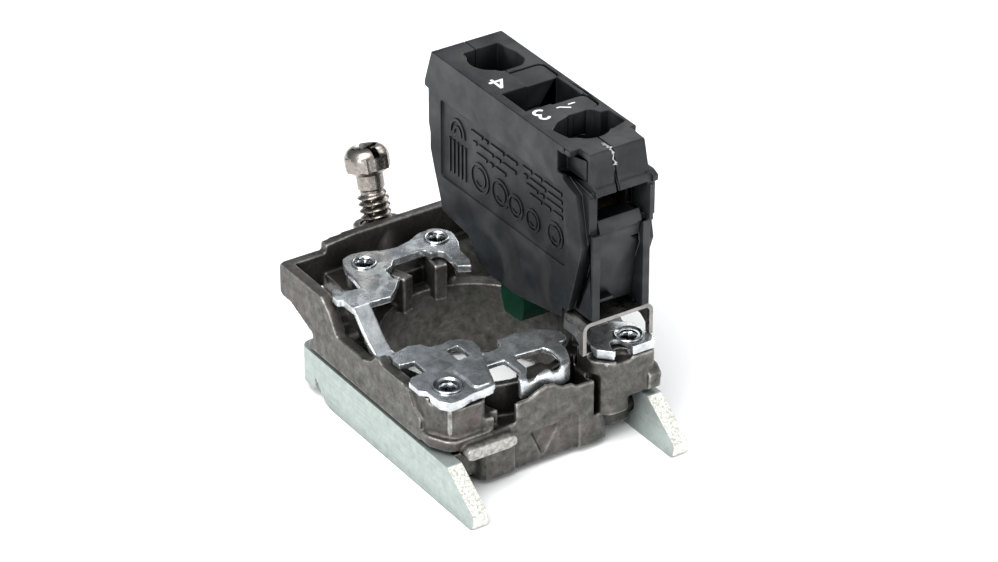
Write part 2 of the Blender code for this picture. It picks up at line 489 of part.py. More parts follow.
def build_block():
    """Whole moulding with its hollows; split afterwards into body and cover."""
    body = prism("block", block_outline(), BLOCK_X0, BLOCK_X1, "x")
    nose = prism("nose", [(-10.0, 27.6), (-16.4, 28.4), (-16.4, 33.7, 0.4), (-15.4, 34.4, 0.2), (-14.4, BLOCK_TOP, 0.3), (-10.0, BLOCK_TOP)],
                 6.4, 14.1, "x")
    flange1 = prism("fl1", [(-9.0, 16.95), (-16.0, 16.95), (-16.0, 33.3, 0.3), (-15.2, 33.8, 0.3), (-9.0, 34.4)], 5.95, 7.05, "x")
    flange2 = prism("fl2", [(-9.0, 16.95), (-16.0, 16.95), (-16.0, 28.5), (-15.0, 33.0), (-9.0, 33.0)], 13.0, 14.0, "x")
    cheek = prism("ck", [(-9.0, 28.6), (-15.6, 28.6), (-15.6, 32.9), (-16.2, 33.4, 0.2), (-16.2, 34.1, 0.2), (-15.3, 34.5), (-9.0, 34.5)],
                  13.6, 14.85, "x")
    lip = box("lip", 5.0, 7.0, -12.4, -10.5, 37.45, BLOCK_TOP)
    add(body, nose, flange1, flange2, cheek, lip)
    cutters = [
        # label panel let into the left face
        prism("label", [(14.95, 32.6, 0.3), (15.0, 22.3, 0.3), (-11.6, 22.6, 0.3), (-11.0, 32.6, 0.3)], BLOCK_X0 - 1, BLOCK_X0 + 0.3, "x"),
        # wire entries
        box("we_f", 7.2, 12.8, -18.0, -5.3, 28.9, 33.2),
        box("we_r", 7.2, 12.8, 10.1, 20.0, 28.9, 33.2),
        # three-cornered pocket behind the left flange
        prism("tri", [(-12.5, 17.4), (-15.35, 27.7), (-15.35, 22.4), (-13.1, 17.4)], 4.0, 6.75, "x"),
        # wider mouth of the front wire entry, and the sunk field below it
        box("mouth", 7.3, 13.55, -18.0, -12.6, 29.15, 33.05),
        prism("rec", [(-18.0, 17.5), (-18.0, 29.6), (-15.55, 29.6), (-15.5, 28.8), (-14.9, 26.8), (-14.2, 24.0),
                      (-13.7, 21.0), (-13.4, 17.5)], 7.08, 12.98, "x"),
        # undercut behind the nose, under the corner lip
        box("undercut", 4.0, 6.42, -14.0, -9.9, 34.6, 37.3),
        # screw wells: round with a square notch
        disc("wf", 2.9, 30.0, 40.0, 28, at=(10.0, TERMINALS["front"], 0)),
        prism("wfn", [(7.8, -5.8, 0.5), (9.7, -5.2, 0.5), (11.7, -4.8, 0.6), (13.0, -5.4, 0.5), (13.35, -6.4, 0.2),
                      (14.4, -6.6, 0.2), (14.5, -9.7, 0.2), (12.4, -10.4, 0.2), (10.9, -9.9, 0.4), (8.8, -10.6, 0.5),
                      (6.8, -9.6, 0.5), (6.3, -7.1, 0.5)], 33.5, 40.0),
        disc("wr", 2.9, 30.0, 40.0, 28, at=(10.0, TERMINALS["rear"], 0)),
        prism("wrn", [(7.9, 14.5, 0.2), (12.85, 14.6, 0.2), (13.0, 13.2, 0.3), (13.4, 11.6, 0.8), (13.3, 9.3, 1.0),
                      (12.2, 8.3, 0.8), (9.3, 8.2, 0.8), (7.9, 10.4, 0.8), (7.7, 12.6, 0.3)], 33.5, 40.0),
        disc("wr2", 2.9, 28.95, 31.0, 28, at=(10.0, TERMINALS["rear"], 0)),
        disc("wf2", 2.9, 28.95, 31.0, 28, at=(10.0, TERMINALS["front"], 0)),
        # room below the terminals for the screw ends
        disc("wf3", 1.7, 25.4, 29.2, 20, at=(10.0, TERMINALS["front"], 0)),
        disc("wr3", 1.7, 25.4, 29.2, 20, at=(10.0, TERMINALS["rear"], 0)),
        # middle slot between the two tongues
        box("slot", 6.2, 13.9, -1.6, 3.5, 32.6, 40.0),
        # contact chamber, open below for the plunger and above for its spring
        box("chamber", 6.9, 13.1, -4.6, 8.2, 23.0, 28.3),
        box("throat", 6.2, 13.8, PLUNGER_Y - 2.7, PLUNGER_Y + 2.7, 10.0, 23.1),
        box("headroom", 7.1, 12.9, PLUNGER_Y - 1.9, PLUNGER_Y + 1.9, 28.0, 29.3),
        disc("spring_well", 1.75, 29.0, 31.6, 24, at=(10.0, PLUNGER_Y, 0)),
        # channels that hold the fixed contacts
        box("ch_f", 7.2, 12.8, -11.7, -4.7, 28.12, 29.0),
        box("ch_r", 7.2, 12.8, 8.0, 14.9, 28.12, 29.0),
        box("ln_f", 8.5, 11.5, -5.5, -4.5, 27.45, 28.95),
        box("ln_r", 8.5, 11.5, 7.8, 8.8, 27.45, 28.95),
        # seat of the clip
        box("seat", 4.0, 5.62, -18.0, -11.0, 10.0, 16.9),
        box("seat2", 14.38, 16.0, -18.0, -11.0, 10.0, 16.9),
        box("seat3", 4.0, 16.0, -18.0, -11.0, 10.0, 16.85)]
    cut(body, *cutters)
    return body


def split_block():
    whole = build_block()
    right = whole.copy()
    right.data = whole.data.copy()
    right.name = "block_cover"
    bpy.context.scene.collection.objects.link(right)
    whole.name = "block_housing"
    g = GAP / 2
    cut(whole, box("c1", BLOCK_SPLIT - g, 20.0, -30.0, 30.0, 0.0, 50.0))
    cut(right, box("c2", 0.0, BLOCK_SPLIT + g, -30.0, 30.0, 0.0, 50.0))
    # the marked tongues belong to the housing and reach across the cover
    for y0, y1 in ((-4.9, -1.66), (3.56, 7.4)):
        zt = BLOCK_TOP - 0.15
        cut(right, prism("t", [(9.0, y0 - 0.12), (14.42, y0 - 0.12, 0.8), (14.42, y1 + 0.12, 0.8), (9.0, y1 + 0.12)], 35.0, 40.0))
        add(whole, prism("t", [(9.0, y0), (14.3, y0, 0.7), (14.3, y1, 0.7), (9.0, y1)], 35.1, zt))
    return whole, right


def build_clip():
    """Sheet clip straddling the right post, hooked under the block."""
    t = 0.5
    prof = [(5.05, 12.4), (5.05, 16.6, 1.0), (14.95, 16.6, 1.0), (14.95, 12.4), (14.95 - t, 12.4), (14.95 - t, 16.6 - t, 0.6),
            (5.05 + t, 16.6 - t, 0.6), (5.05 + t, 12.4)]
    clip = prism("block_clip", prof, -15.5, -11.5, "y", steps=4)
    cut(clip, prism("nose", [(-11.0, 10.0), (-14.7, 10.0), (-14.7, 13.6, 0.4), (-13.6, 14.3, 0.3), (-11.0, 14.3)], 4.0, 16.0, "x"))
    return clip


def build_plunger():
    """Foot below the block, and the frame above it whose window carries the bridge."""
    y = PLUNGER_Y
    foot = prism("plunger", [(y - 2.45, 10.4), (y - 1.9, 8.9, 0.3), (y + 1.6, 8.75, 0.3), (y + 2.45, 10.8), (y + 2.45, 18.0),
                             (y - 2.45, 18.0)], 6.5, 13.5, "x")
    frame = box("frame", 7.4, 12.6, y - 1.6, y + 1.6, 17.0, 24.6)
    add(foot, frame)
    cut(foot, box("window", 8.7, 11.3, y - 3.0, y + 3.0, 20.2, 23.9))
    return foot


def build_bridge():
    y = PLUNGER_Y
    return prism("contact_bridge", [(8.9, y - 5.6, 0.5), (11.1, y - 5.6, 0.5), (11.1, y + 5.6, 0.5), (8.9, y + 5.6, 0.5)],
                 BRIDGE_Z, BRIDGE_Z + 0.6)


def build_tip(name, y, z0, z1):
    return lathe(name, [(0, z0), (0.8, z0), (0.8, z1), (0, z1)], 16, at=(10.0, y, 0))


def build_fixed(name, sign):
    """Brass strip: screw plate in the terminal, step down into the chamber."""
    def at(d):
        return PLUNGER_Y + sign * d
    link = prism(name, [(at(3.9), 27.55), (at(7.05), 27.55), (at(7.05), 28.85), (at(6.4), 28.85), (at(6.4), 28.2),
                        (at(3.9), 28.2)], 8.6, 11.4, "x")
    end = 13.1
    plate = prism("plate", [(7.3, at(6.6)), (12.7, at(6.6)), (12.7, at(end), 0.4), (7.3, at(end), 0.4)], 28.2, 28.85)
    strip = add(link, plate)
    y = TERMINALS["front"] if sign < 0 else TERMINALS["rear"]
    cut(strip, disc("hole", 1.55, 27.0, 30.0, 20, at=(10.0, y, 0)))
    return strip


def build_terminal_screw(name, y, seg=14, per=3):
    s = threaded(name, 1.15, 1.45, 0.6, 28.8, 32.2, seg, per, ([(1.0, 28.55)], [(1.3, 32.4), (1.3, 33.0)]))
    head = lathe("h", [(0, 32.9), (2.55, 32.9), (2.55, 34.4), (2.2, 34.9), (0, 34.95)], 24)
    add(s, head)
    cut(s, box("slot", -3.0, 3.0, -0.4, 0.4, 33.9, 36.0))
    s.data.transform(Matrix.Translation((10.0, y, 0)))
    return s


def build_washer(name, y):
    w = lathe(name, [(1.6, 31.9), (2.55, 31.9), (2.55, 32.75), (1.6, 32.75)], 20)
    w.data.transform(Matrix.Translation((10.0, y, 0)))
    return w


# ------------------------------------------------------------------ materials
def material(name, colour, rough, metal):
    m = bpy.data.materials.new(name)
    m.use_nodes = True
    b = m.node_tree.nodes["Principled BSDF"]
    b.inputs["Base Color"].default_value = (*colour, 1.0)
    b.inputs["Roughness"].default_value = rough
    b.inputs["Metallic"].default_value = metal
    return m


def place(ob, mat, pivot=(0, 0, 0), matrix=None):
    """Scale to metres, put the origin on the joint axis and give the material."""
    p = Vector(pivot)
    if matrix is None:
        ob.data.transform(Matrix.Scale(MM, 4) @ Matrix.Translation(-p))
        ob.location = p * MM
    ob.data.materials.clear()
    ob.data.materials.append(mat)
    ob.data.shade_smooth()
    ob.data.set_sharp_from_angle(angle=math.radians(30))


def main():
    for ob in list(bpy.data.objects):
        bpy.data.objects.remove(ob, do_unlink=True)
    cast = material("zinc_casting", (0.20, 0.185, 0.18), 0.5, 0.85)
    zinc = material("zinc_plated_steel", (0.62, 0.65, 0.68), 0.25, 1.0)
    galv = material("galvanised_steel", (0.62, 0.66, 0.64), 0.45, 0.9)
    steel = material("screw_steel", (0.45, 0.42, 0.38), 0.3, 1.0)
    black = material("black_plastic", (0.045, 0.048, 0.052), 0.5, 0.0)
    green = material("green_plastic", (0.01, 0.07, 0.035), 0.4, 0.0)
    brass = material("brass", (0.75, 0.55, 0.25), 0.3, 1.0)
    silver = material("silver", (0.85, 0.85, 0.84), 0.2, 1.0)
    spring = material("spring_steel", (0.5, 0.5, 0.5), 0.3, 1.0)

    place(build_collar(), cast)
    place(build_plate(), zinc)
    place(build_catch(), zinc)
    for name in RIVETS:
        place(build_rivet(name), zinc)
    place(build_lever(), zinc)
    place(build_yoke(), galv, (0, PIVOT_Y, PIVOT_Z))
    place(build_clamp_screw(), steel, SCREW_BASE)
    place(build_end_washer(), steel, SCREW_BASE)
    housing, cover = split_block()
    place(housing, black)
    place(cover, black)
    place(build_clip(), zinc)
    y = PLUNGER_Y
    place(build_plunger(), green, (10.0, y, 13.7))
    place(coil("return_spring", 1.3, 0.3, 24.66, 31.5, 6.0, 12, 5, (10.0, y, 0)), spring, (10.0, y, 24.66))
    place(build_bridge(), brass, (10.0, y, BRIDGE_Z))
    place(build_tip("moving_tip_front", y - 4.7, 23.85, 24.35), silver, (10.0, y, BRIDGE_Z))
    place(build_tip("moving_tip_rear", y + 4.7, 23.85, 24.35), silver, (10.0, y, BRIDGE_Z))
    place(build_tip("fixed_tip_front", y - 4.7, 26.95, 27.5), silver)
    place(build_tip("fixed_tip_rear", y + 4.7, 26.95, 27.5), silver)
    place(build_fixed("fixed_contact_front", -1), brass)
    place(build_fixed("fixed_contact_rear", 1), brass)
    place(coil("bridge_spring", 0.75, 0.25, 20.25, 23.14, 4.5, 12, 5, (10.0, y, 0)), spring, (10.0, y, 20.25))
    for end, ty in TERMINALS.items():
        place(build_terminal_screw("terminal_screw_" + end, ty), steel, (10.0, ty, 33.0))
        place(build_washer("clamp_washer_" + end, ty), steel, (10.0, ty, 33.0))


main()
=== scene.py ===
"""Visual model of a panel push-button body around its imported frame: die-cast
fixing collar, zinc-plated retaining plate, locking lever, clamping yoke, clamp
screw and one contact block.  Helpers model in millimetres; pieces are scaled to
metres when they are placed."""
import bpy
import bmesh
import json
import math
from mathutils import Matrix, Vector, noise

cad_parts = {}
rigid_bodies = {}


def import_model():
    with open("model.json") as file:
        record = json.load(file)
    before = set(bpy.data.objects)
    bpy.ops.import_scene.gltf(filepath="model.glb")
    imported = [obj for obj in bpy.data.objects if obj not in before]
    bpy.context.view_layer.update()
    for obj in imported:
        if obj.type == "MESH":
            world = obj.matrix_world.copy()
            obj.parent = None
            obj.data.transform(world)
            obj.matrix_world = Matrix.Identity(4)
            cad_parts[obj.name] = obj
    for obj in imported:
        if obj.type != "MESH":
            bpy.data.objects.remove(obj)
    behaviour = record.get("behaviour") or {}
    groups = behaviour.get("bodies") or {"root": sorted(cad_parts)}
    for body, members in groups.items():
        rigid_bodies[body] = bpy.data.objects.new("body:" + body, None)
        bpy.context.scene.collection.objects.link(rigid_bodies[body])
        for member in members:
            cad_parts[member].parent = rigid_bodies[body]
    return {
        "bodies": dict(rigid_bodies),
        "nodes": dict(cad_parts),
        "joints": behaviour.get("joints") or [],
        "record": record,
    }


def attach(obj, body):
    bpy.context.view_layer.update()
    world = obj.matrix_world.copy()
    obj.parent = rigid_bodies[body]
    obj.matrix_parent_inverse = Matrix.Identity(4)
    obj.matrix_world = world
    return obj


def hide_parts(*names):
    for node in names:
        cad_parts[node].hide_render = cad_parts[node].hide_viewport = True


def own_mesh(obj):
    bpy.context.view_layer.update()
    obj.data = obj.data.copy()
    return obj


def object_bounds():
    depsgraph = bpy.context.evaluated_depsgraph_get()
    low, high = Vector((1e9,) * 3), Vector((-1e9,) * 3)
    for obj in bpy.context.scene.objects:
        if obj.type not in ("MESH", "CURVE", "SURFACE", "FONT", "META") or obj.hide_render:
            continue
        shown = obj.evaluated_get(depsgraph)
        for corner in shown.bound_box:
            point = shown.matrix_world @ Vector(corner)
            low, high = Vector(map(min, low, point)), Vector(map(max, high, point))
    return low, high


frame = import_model()
CAD_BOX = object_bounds()

# -------------------------------------------------------------------- camera
CAM_AZ, CAM_EL = math.radians(-33.19), math.radians(30.72)


def make_camera():
    ca, sa, ce, se = math.cos(CAM_AZ), math.sin(CAM_AZ), math.cos(CAM_EL), math.sin(CAM_EL)
    right = Vector((ca, sa, 0.0))
    forward = Vector((-sa * ce, ca * ce, -se))
    up = Vector((-sa * se, ca * se, ce))
    data = bpy.data.cameras.new("camera")
    cam = bpy.data.objects.new("camera", data)
    bpy.context.scene.collection.objects.link(cam)
    back = -forward
    cam.matrix_world = Matrix(((right.x, up.x, back.x, -0.2417638), (right.y, up.y, back.y, -0.3749810),
                               (right.z, up.z, back.z, 0.2817069), (0, 0, 0, 1)))
    data.sensor_width = 36.0
    data.lens = 158.7213
    data.clip_start = 0.02
    data.clip_end = 20.0
    bpy.context.scene.camera = cam


make_camera()

# ---------------------------------------------------------------- dimensions
MM = 0.001
WIDTH = 30.0            # over the yoke arms
BORE_R = 11.25          # bore for the 22 mm button head
ARM_T = 2.0             # yoke sheet thickness
ARM_TOP, ARM_BOT = 5.2, -0.72
ARM_TIP_Y, ARM_REAR_Y = -23.05, 13.0
PIVOT_Y, PIVOT_Z = -13.4, 2.6      # trunnions the yoke rocks on
FRONT_Y = -15.8         # front face of the casting
WALL_IN_Y = -15.25      # inner face of the thin front wall
REAR_Y = 20.0           # rear wall, outer face
REAR_IN_Y = 18.7        # rear wall, inner face
SHEET = 0.7             # retaining plate thickness
PLATE_REAR_Z = 14.5     # top of the rear plate
PLATE_FRONT_Z = 12.3    # top of the front plates
RIVETS = {"rivet_rear_left": (-6.85, 13.65, PLATE_REAR_Z, 12.3),
          "rivet_rear_right": (3.65, 13.95, PLATE_REAR_Z, 12.3),
          "rivet_front_left": (-11.5, -12.2, PLATE_FRONT_Z, 10.2),
          "rivet_front_right": (12.4, -14.2, PLATE_FRONT_Z, 10.2)}
SCREW_TILT = math.radians(15.8)    # clamp screw leans away from the block
SCREW_BASE = (0.0, 21.7, 14.2)     # where its axis leaves the boss
SCREW_PITCH = 0.7
BLOCK_X0, BLOCK_X1 = 5.0, 15.0     # one 10 mm contact position
BLOCK_TOP = 38.25
BLOCK_SPLIT = 9.7
PLUNGER_Y = 1.65
BRIDGE_Z = 23.2         # underside of the moving bridge at rest
GAP = 0.06


# ------------------------------------------------------------------ helpers
def fillet(points, steps=3):
    """Outline from (u, v) or (u, v, radius) corners."""
    out = []
    n = len(points)
    for i, p in enumerate(points):
        r = p[2] if len(p) > 2 else 0.0
        c = Vector(p[:2])
        if r <= 0:
            out.append(c)
            continue
        a = (Vector(points[i - 1][:2]) - c)
        b = (Vector(points[(i + 1) % n][:2]) - c)
        la, lb = a.length, b.length
        a.normalize()
        b.normalize()
        half = a.angle(b) / 2.0
        if half > math.radians(88):
            out.append(c)
            continue
        d = min(r / math.tan(half), la * 0.49, lb * 0.49)
        rr = d * math.tan(half)
        m = c + (a + b).normalized() * (rr / math.sin(half))
        s = c + a * d - m
        e = c + b * d - m
        ang = s.angle_signed(e) * -1.0
        for k in range(steps + 1):
            t = ang * k / steps
            ct, st = math.cos(t), math.sin(t)
            out.append(m + Vector((s.x * ct - s.y * st, s.x * st + s.y * ct)))
    return out


def finish(bm, name):
    bmesh.ops.remove_doubles(bm, verts=bm.verts, dist=1e-4)
    bmesh.ops.recalc_face_normals(bm, faces=bm.faces)
    me = bpy.data.meshes.new(name)
    bm.to_mesh(me)
    bm.free()
    ob = bpy.data.objects.new(name, me)
    bpy.context.scene.collection.objects.link(ob)
    return ob


def lift(u, v, w, axis):
    if axis == "z":
        return (u, v, w)
    if axis == "x":
        return (w, u, v)
    return (u, w, v)


def prism(name, points, lo, hi, axis="z", steps=3, top=None):
    """Closed prism; axis z takes (x, y), axis x takes (y, z), axis y takes (x, z).
    top is an optional second outline with as many points, for a tapered prism."""
    base = fillet(points, steps)
    cap = fillet(top, steps) if top else base
    bm = bmesh.new()
    lower = [bm.verts.new(lift(p.x, p.y, lo, axis)) for p in base]
    upper = [bm.verts.new(lift(p.x, p.y, hi, axis)) for p in cap]
    n = len(base)
    bm.faces.new(lower)
    bm.faces.new(upper)
    for i in range(n):
        j = (i + 1) % n
        bm.faces.new((lower[i], lower[j], upper[j], upper[i]))
    return finish(bm, name)


def box(name, x0, x1, y0, y1, z0, z1):
    return prism(name, [(x0, y0), (x1, y0), (x1, y1), (x0, y1)], z0, z1)


def lathe(name, profile, seg=16, axis="z", at=(0, 0, 0), matrix=None):
    """Turned solid from a closed (r, h) profile; a profile touching r = 0 is capped."""
    bm = bmesh.new()
    rings = []
    for r, h in profile:
        if r < 1e-6:
            rings.append([bm.verts.new((0, 0, h))])
        else:
            rings.append([bm.verts.new((r * math.cos(2 * math.pi * k / seg),
                                        r * math.sin(2 * math.pi * k / seg), h))
                          for k in range(seg)])
    closed = profile[0][0] > 1e-6 and profile[-1][0] > 1e-6
    pairs = list(zip(rings, rings[1:]))
    if closed:
        pairs.append((rings[-1], rings[0]))
    for a, b in pairs:
        for k in range(seg):
            m = (k + 1) % seg
            if len(a) == 1 and len(b) == 1:
                continue
            if len(a) == 1:
                bm.faces.new((a[0], b[k], b[m]))
            elif len(b) == 1:
                bm.faces.new((a[k], b[0], a[m]))
            else:
                bm.faces.new((a[k], b[k], b[m], a[m]))
    turn = Matrix.Identity(4)
    if axis == "x":
        turn = Matrix.Rotation(math.radians(90), 4, "Y")
    elif axis == "y":
        turn = Matrix.Rotation(math.radians(-90), 4, "X")
    bm.transform(matrix if matrix else Matrix.Translation(at) @ turn)
    return finish(bm, name)


def disc(name, r, h0, h1, seg=24, axis="z", at=(0, 0, 0), matrix=None):
    return lathe(name, [(0, h0), (r, h0), (r, h1), (0, h1)], seg, axis, at, matrix)


def apply_boolean(a, b, kind):
    mod = a.modifiers.new(kind.lower(), "BOOLEAN")
    mod.operation = kind
    mod.solver = "EXACT"
    mod.object = b
    deps = bpy.context.evaluated_depsgraph_get()
    deps.update()
    me = bpy.data.meshes.new_from_object(a.evaluated_get(deps))
    old = a.data
    a.modifiers.clear()
    a.data = me
    bpy.data.meshes.remove(old)
    other = b.data
    bpy.data.objects.remove(b)
    bpy.data.meshes.remove(other)
    return a


def add(a, *others):
    for b in others:
        apply_boolean(a, b, "UNION")
    return a


def cut(a, *others):
    for b in others:
        apply_boolean(a, b, "DIFFERENCE")
    return a


def keep(a, b):
    return apply_boolean(a, b, "INTERSECT")


def threaded(name, r_root, r_crest, pitch, z0, z1, seg=16, per=4, extra=()):
    """Rod with a helical thread from z0 to z1; extra = (r, z) rings above and below:
    (below list, above list)."""
    below, above = extra if extra else ([], [])
    bm = bmesh.new()
    rows = []
    for r, z in below:
        rows.append([(r, z)] * seg)
    steps = max(2, int(round((z1 - z0) / pitch * per)))
    for i in range(steps + 1):
        z = z0 + (z1 - z0) * i / steps
        row = []
        for k in range(seg):
            phase = (z / pitch - k / seg) % 1.0
            tri = 1.0 - abs(2.0 * phase - 1.0)
            fade = min(1.0, (z - z0) / pitch, (z1 - z) / pitch)
            row.append((r_root + (r_crest - r_root) * max(0.0, min(1.0, tri * 1.3 - 0.1)) * max(fade, 0.0), z))
        rows.append(row)
    for r, z in above:
        rows.append([(r, z)] * seg)
    rings = [[bm.verts.new((r * math.cos(2 * math.pi * k / seg), r * math.sin(2 * math.pi * k / seg), z))
              for k, (r, z) in enumerate(row)] for row in rows]
    bm.faces.new(rings[0])
    bm.faces.new(rings[-1])
    for a, b in zip(rings, rings[1:]):
        for k in range(seg):
            m = (k + 1) % seg
            bm.faces.new((a[k], b[k], b[m], a[m]))
    return finish(bm, name)


def coil(name, radius, wire, z0, z1, turns, seg=14, sides=6, at=(0, 0, 0)):
    """Closed helical spring with flat-lying end turns."""
    bm = bmesh.new()
    n = int(turns * seg)
    rings = []
    for i in range(n + 1):
        t = i / n
        a = 2 * math.pi * turns * t
        s = min(max((t * turns - 0.8) / (turns - 1.6), 0.0), 1.0)
        lead = wire * 1.15 * (min(t * turns, 0.8) + max(0.0, t * turns - (turns - 0.8)))
        free = (z1 - z0 - wire) - wire * 1.15 * 1.6
        z = z0 + wire / 2 + lead + free * s
        c = Vector((radius * math.cos(a), radius * math.sin(a), z))
        ring = []
        for k in range(sides):
            b = 2 * math.pi * k / sides
            ring.append(bm.verts.new((c.x + wire / 2 * math.cos(b) * math.cos(a) + at[0],
                                      c.y + wire / 2 * math.cos(b) * math.sin(a) + at[1],
                                      c.z + wire / 2 * math.sin(b) + at[2])))
        rings.append(ring)
    bm.faces.new(rings[0])
    bm.faces.new(rings[-1])
    for a, b in zip(rings, rings[1:]):
        for k in range(sides):
            m = (k + 1) % sides
            bm.faces.new((a[k], b[k], b[m], a[m]))
    return finish(bm, name)


# ------------------------------------------------------------ fixing collar
def build_collar():
    # lower body between the yoke arms, reaching forward to the arrow panel
    body = prism("collar_casting", [
        (-8.9, FRONT_Y, 1.6), (8.4, FRONT_Y, 1.6), (9.4, -13.3, 0.6), (12.6, -11.4, 0.8),
        (12.6, 13.6, 0.6), (-12.6, 13.6, 0.6), (-12.6, -11.4, 0.8), (-9.9, -13.3, 0.6)], 0.0, 8.6)
    parts = []
    # side walls, thicker at the foot
    left_wall = [(19.9, 9.8, 0.8), (17.4, 9.8), (12.6, 8.0), (12.4, 7.4, 0.3), (13.3, 6.6, 0.4),
                 (13.5, 5.7), (-11.4, 5.7), (-11.6, 8.5), (-10.1, 9.4, 0.4), (-9.0, 11.3, 0.5), (-7.6, 11.55),
                 (-3.4, 11.55, 0.6), (-2.1, 12.2, 0.6), (-0.9, 11.0, 0.6), (1.2, 10.2, 0.8), (6.9, 10.2, 0.5),
                 (8.6, 12.7, 0.4), (10.3, 14.1, 0.8), (19.9, 14.1, 0.5)]
    parts.append(prism("w1", left_wall, -14.95, -13.5, "x"))
    parts.append(prism("w2", left_wall, 13.5, 14.95, "x"))
    # shoulders that carry the side walls over the arms
    parts.append(box("s1", -13.6, -11.5, -11.4, 13.6, 5.7, 8.6))
    parts.append(box("s2", 11.5, 13.6, -11.4, 13.6, 5.7, 8.6))
    # rear wall with its step and the undercut below it
    parts.append(prism("rw", [(-14.9, 9.9), (-14.9, 14.1, 0.6), (-9.15, 14.1), (-9.05, 15.2, 0.3), (-5.0, 15.6, 2.0),
                              (14.9, 15.6, 0.6), (14.9, 9.9)], REAR_IN_Y, REAR_Y, "y"))
    parts.append(prism("floor", [(13.0, 5.9), (13.4, 6.6), (12.6, 8.0), (17.4, 9.8), (19.9, 9.8),
                                 (19.9, 10.8), (17.2, 10.8), (11.2, 8.2), (11.2, 5.9)], -14.2, 14.2, "x"))
    # ring around the bore and the posts the plates are staked to
    parts.append(prism("ring", [(13.2 * math.cos(math.radians(a)), 13.2 * math.sin(math.radians(a)))
                                for a in range(0, 360, 12)], 8.0, 9.6))
    for key in ("rivet_rear_left", "rivet_rear_right"):
        parts.append(disc("post", 2.2, 8.0, 13.5, 20, at=(RIVETS[key][0], RIVETS[key][1], 0)))
    parts.append(box("web1", -9.6, 5.6, 13.6, 18.8, 8.0, 11.4))
    # pillars standing in the rear of the bore, and a key in its front
    for ang, r0, w, z1 in ((109.0, 10.0, 0.8, 13.45), (80.5, 9.85, 0.85, 13.45), (-84.0, 10.05, 1.9, 9.6)):
        p = prism("pil", [(-w, r0), (w, r0), (w, 13.0), (-w, 13.0)], 8.6, z1)
        p.data.transform(Matrix.Rotation(math.radians(ang - 90.0), 4, "Z"))
        parts.append(p)
    # front-left post with its stepped foot and the lug in front
    parts.append(prism("post_l", [(-14.6, -8.0), (-14.4, -12.4, 2.4), (-12.6, -15.5, 2.2), (-8.2, -15.5, 1.2),
                                  (-7.6, -12.6, 1.0), (-9.4, -8.0)], 6.6, 11.52, steps=4))
    parts.append(prism("foot_l", [(-14.9, -8.0), (-14.9, -13.2, 2.0), (-13.4, -16.0, 1.6), (-7.4, -16.0, 0.8),
                                  (-7.0, -12.0), (-9.4, -8.0)], 5.75, 7.1, steps=4))
    parts.append(prism("lug_l", [(-12.2, 4.85, 0.7), (-12.2, 6.4, 0.7), (-5.3, 6.4, 0.7), (-5.3, 4.85, 0.7)],
                       -17.5, -13.0, "y"))
    # front wall with the wavy top that follows the lever handle
    parts.append(prism("wave", [(-4.4, 7.5), (-4.4, 9.15, 0.3), (-2.5, 9.3, 0.5), (-1.1, 10.0, 0.8), (-0.1, 10.3, 0.8),
                                (1.0, 10.1, 0.8), (2.1, 9.35, 0.8), (3.5, 9.3, 0.4), (4.2, 8.8, 0.3), (7.6, 8.7),
                                (7.6, 7.5)], FRONT_Y, WALL_IN_Y, "y"))
    # front-right post: square block and round column
    parts.append(prism("post_r", [(10.4, -16.9), (14.5, -16.9, 0.5), (14.5, -8.0), (8.0, -8.0)], 5.75, 11.52))
    parts.append(prism("col_r", [(6.6, -12.0), (6.6, -15.2, 1.2), (8.2, -16.9, 1.0), (11.0, -16.9, 0.8), (11.0, -12.0)],
                       3.8, 11.52, steps=4))
    parts.append(prism("ear_r", [(-17.4, 6.1, 0.2), (-17.5, 8.0, 0.5), (-16.6, 8.9, 0.4), (-9.0, 8.9), (-9.0, 5.75), (-16.9, 5.75)],
                       13.2, 14.95, "x"))
    # boss of the clamp screw, leaning with it
    lean = Matrix.Translation(SCREW_BASE) @ Matrix.Rotation(-SCREW_TILT, 4, "X")
    parts.append(disc("boss", 3.0, -6.2, 0.2, 28, matrix=lean))
    # trunnions the yoke arms rock on
    parts.append(disc("t1", 1.2, 12.0, 13.85, 16, "x", (0, PIVOT_Y, PIVOT_Z)))
    parts.append(disc("t2", 1.2, -13.85, -12.0, 16, "x", (0, PIVOT_Y, PIVOT_Z)))
    parts.append(prism("tb1", [(9.0, -11.0), (9.0, -14.6, 0.6), (12.7, -14.6, 0.6), (12.7, -11.0)], 0.9, 4.4))
    parts.append(prism("tb2", [(-9.0, -11.0), (-9.0, -14.6, 0.6), (-12.7, -14.6, 0.6), (-12.7, -11.0)], 0.9, 4.4))
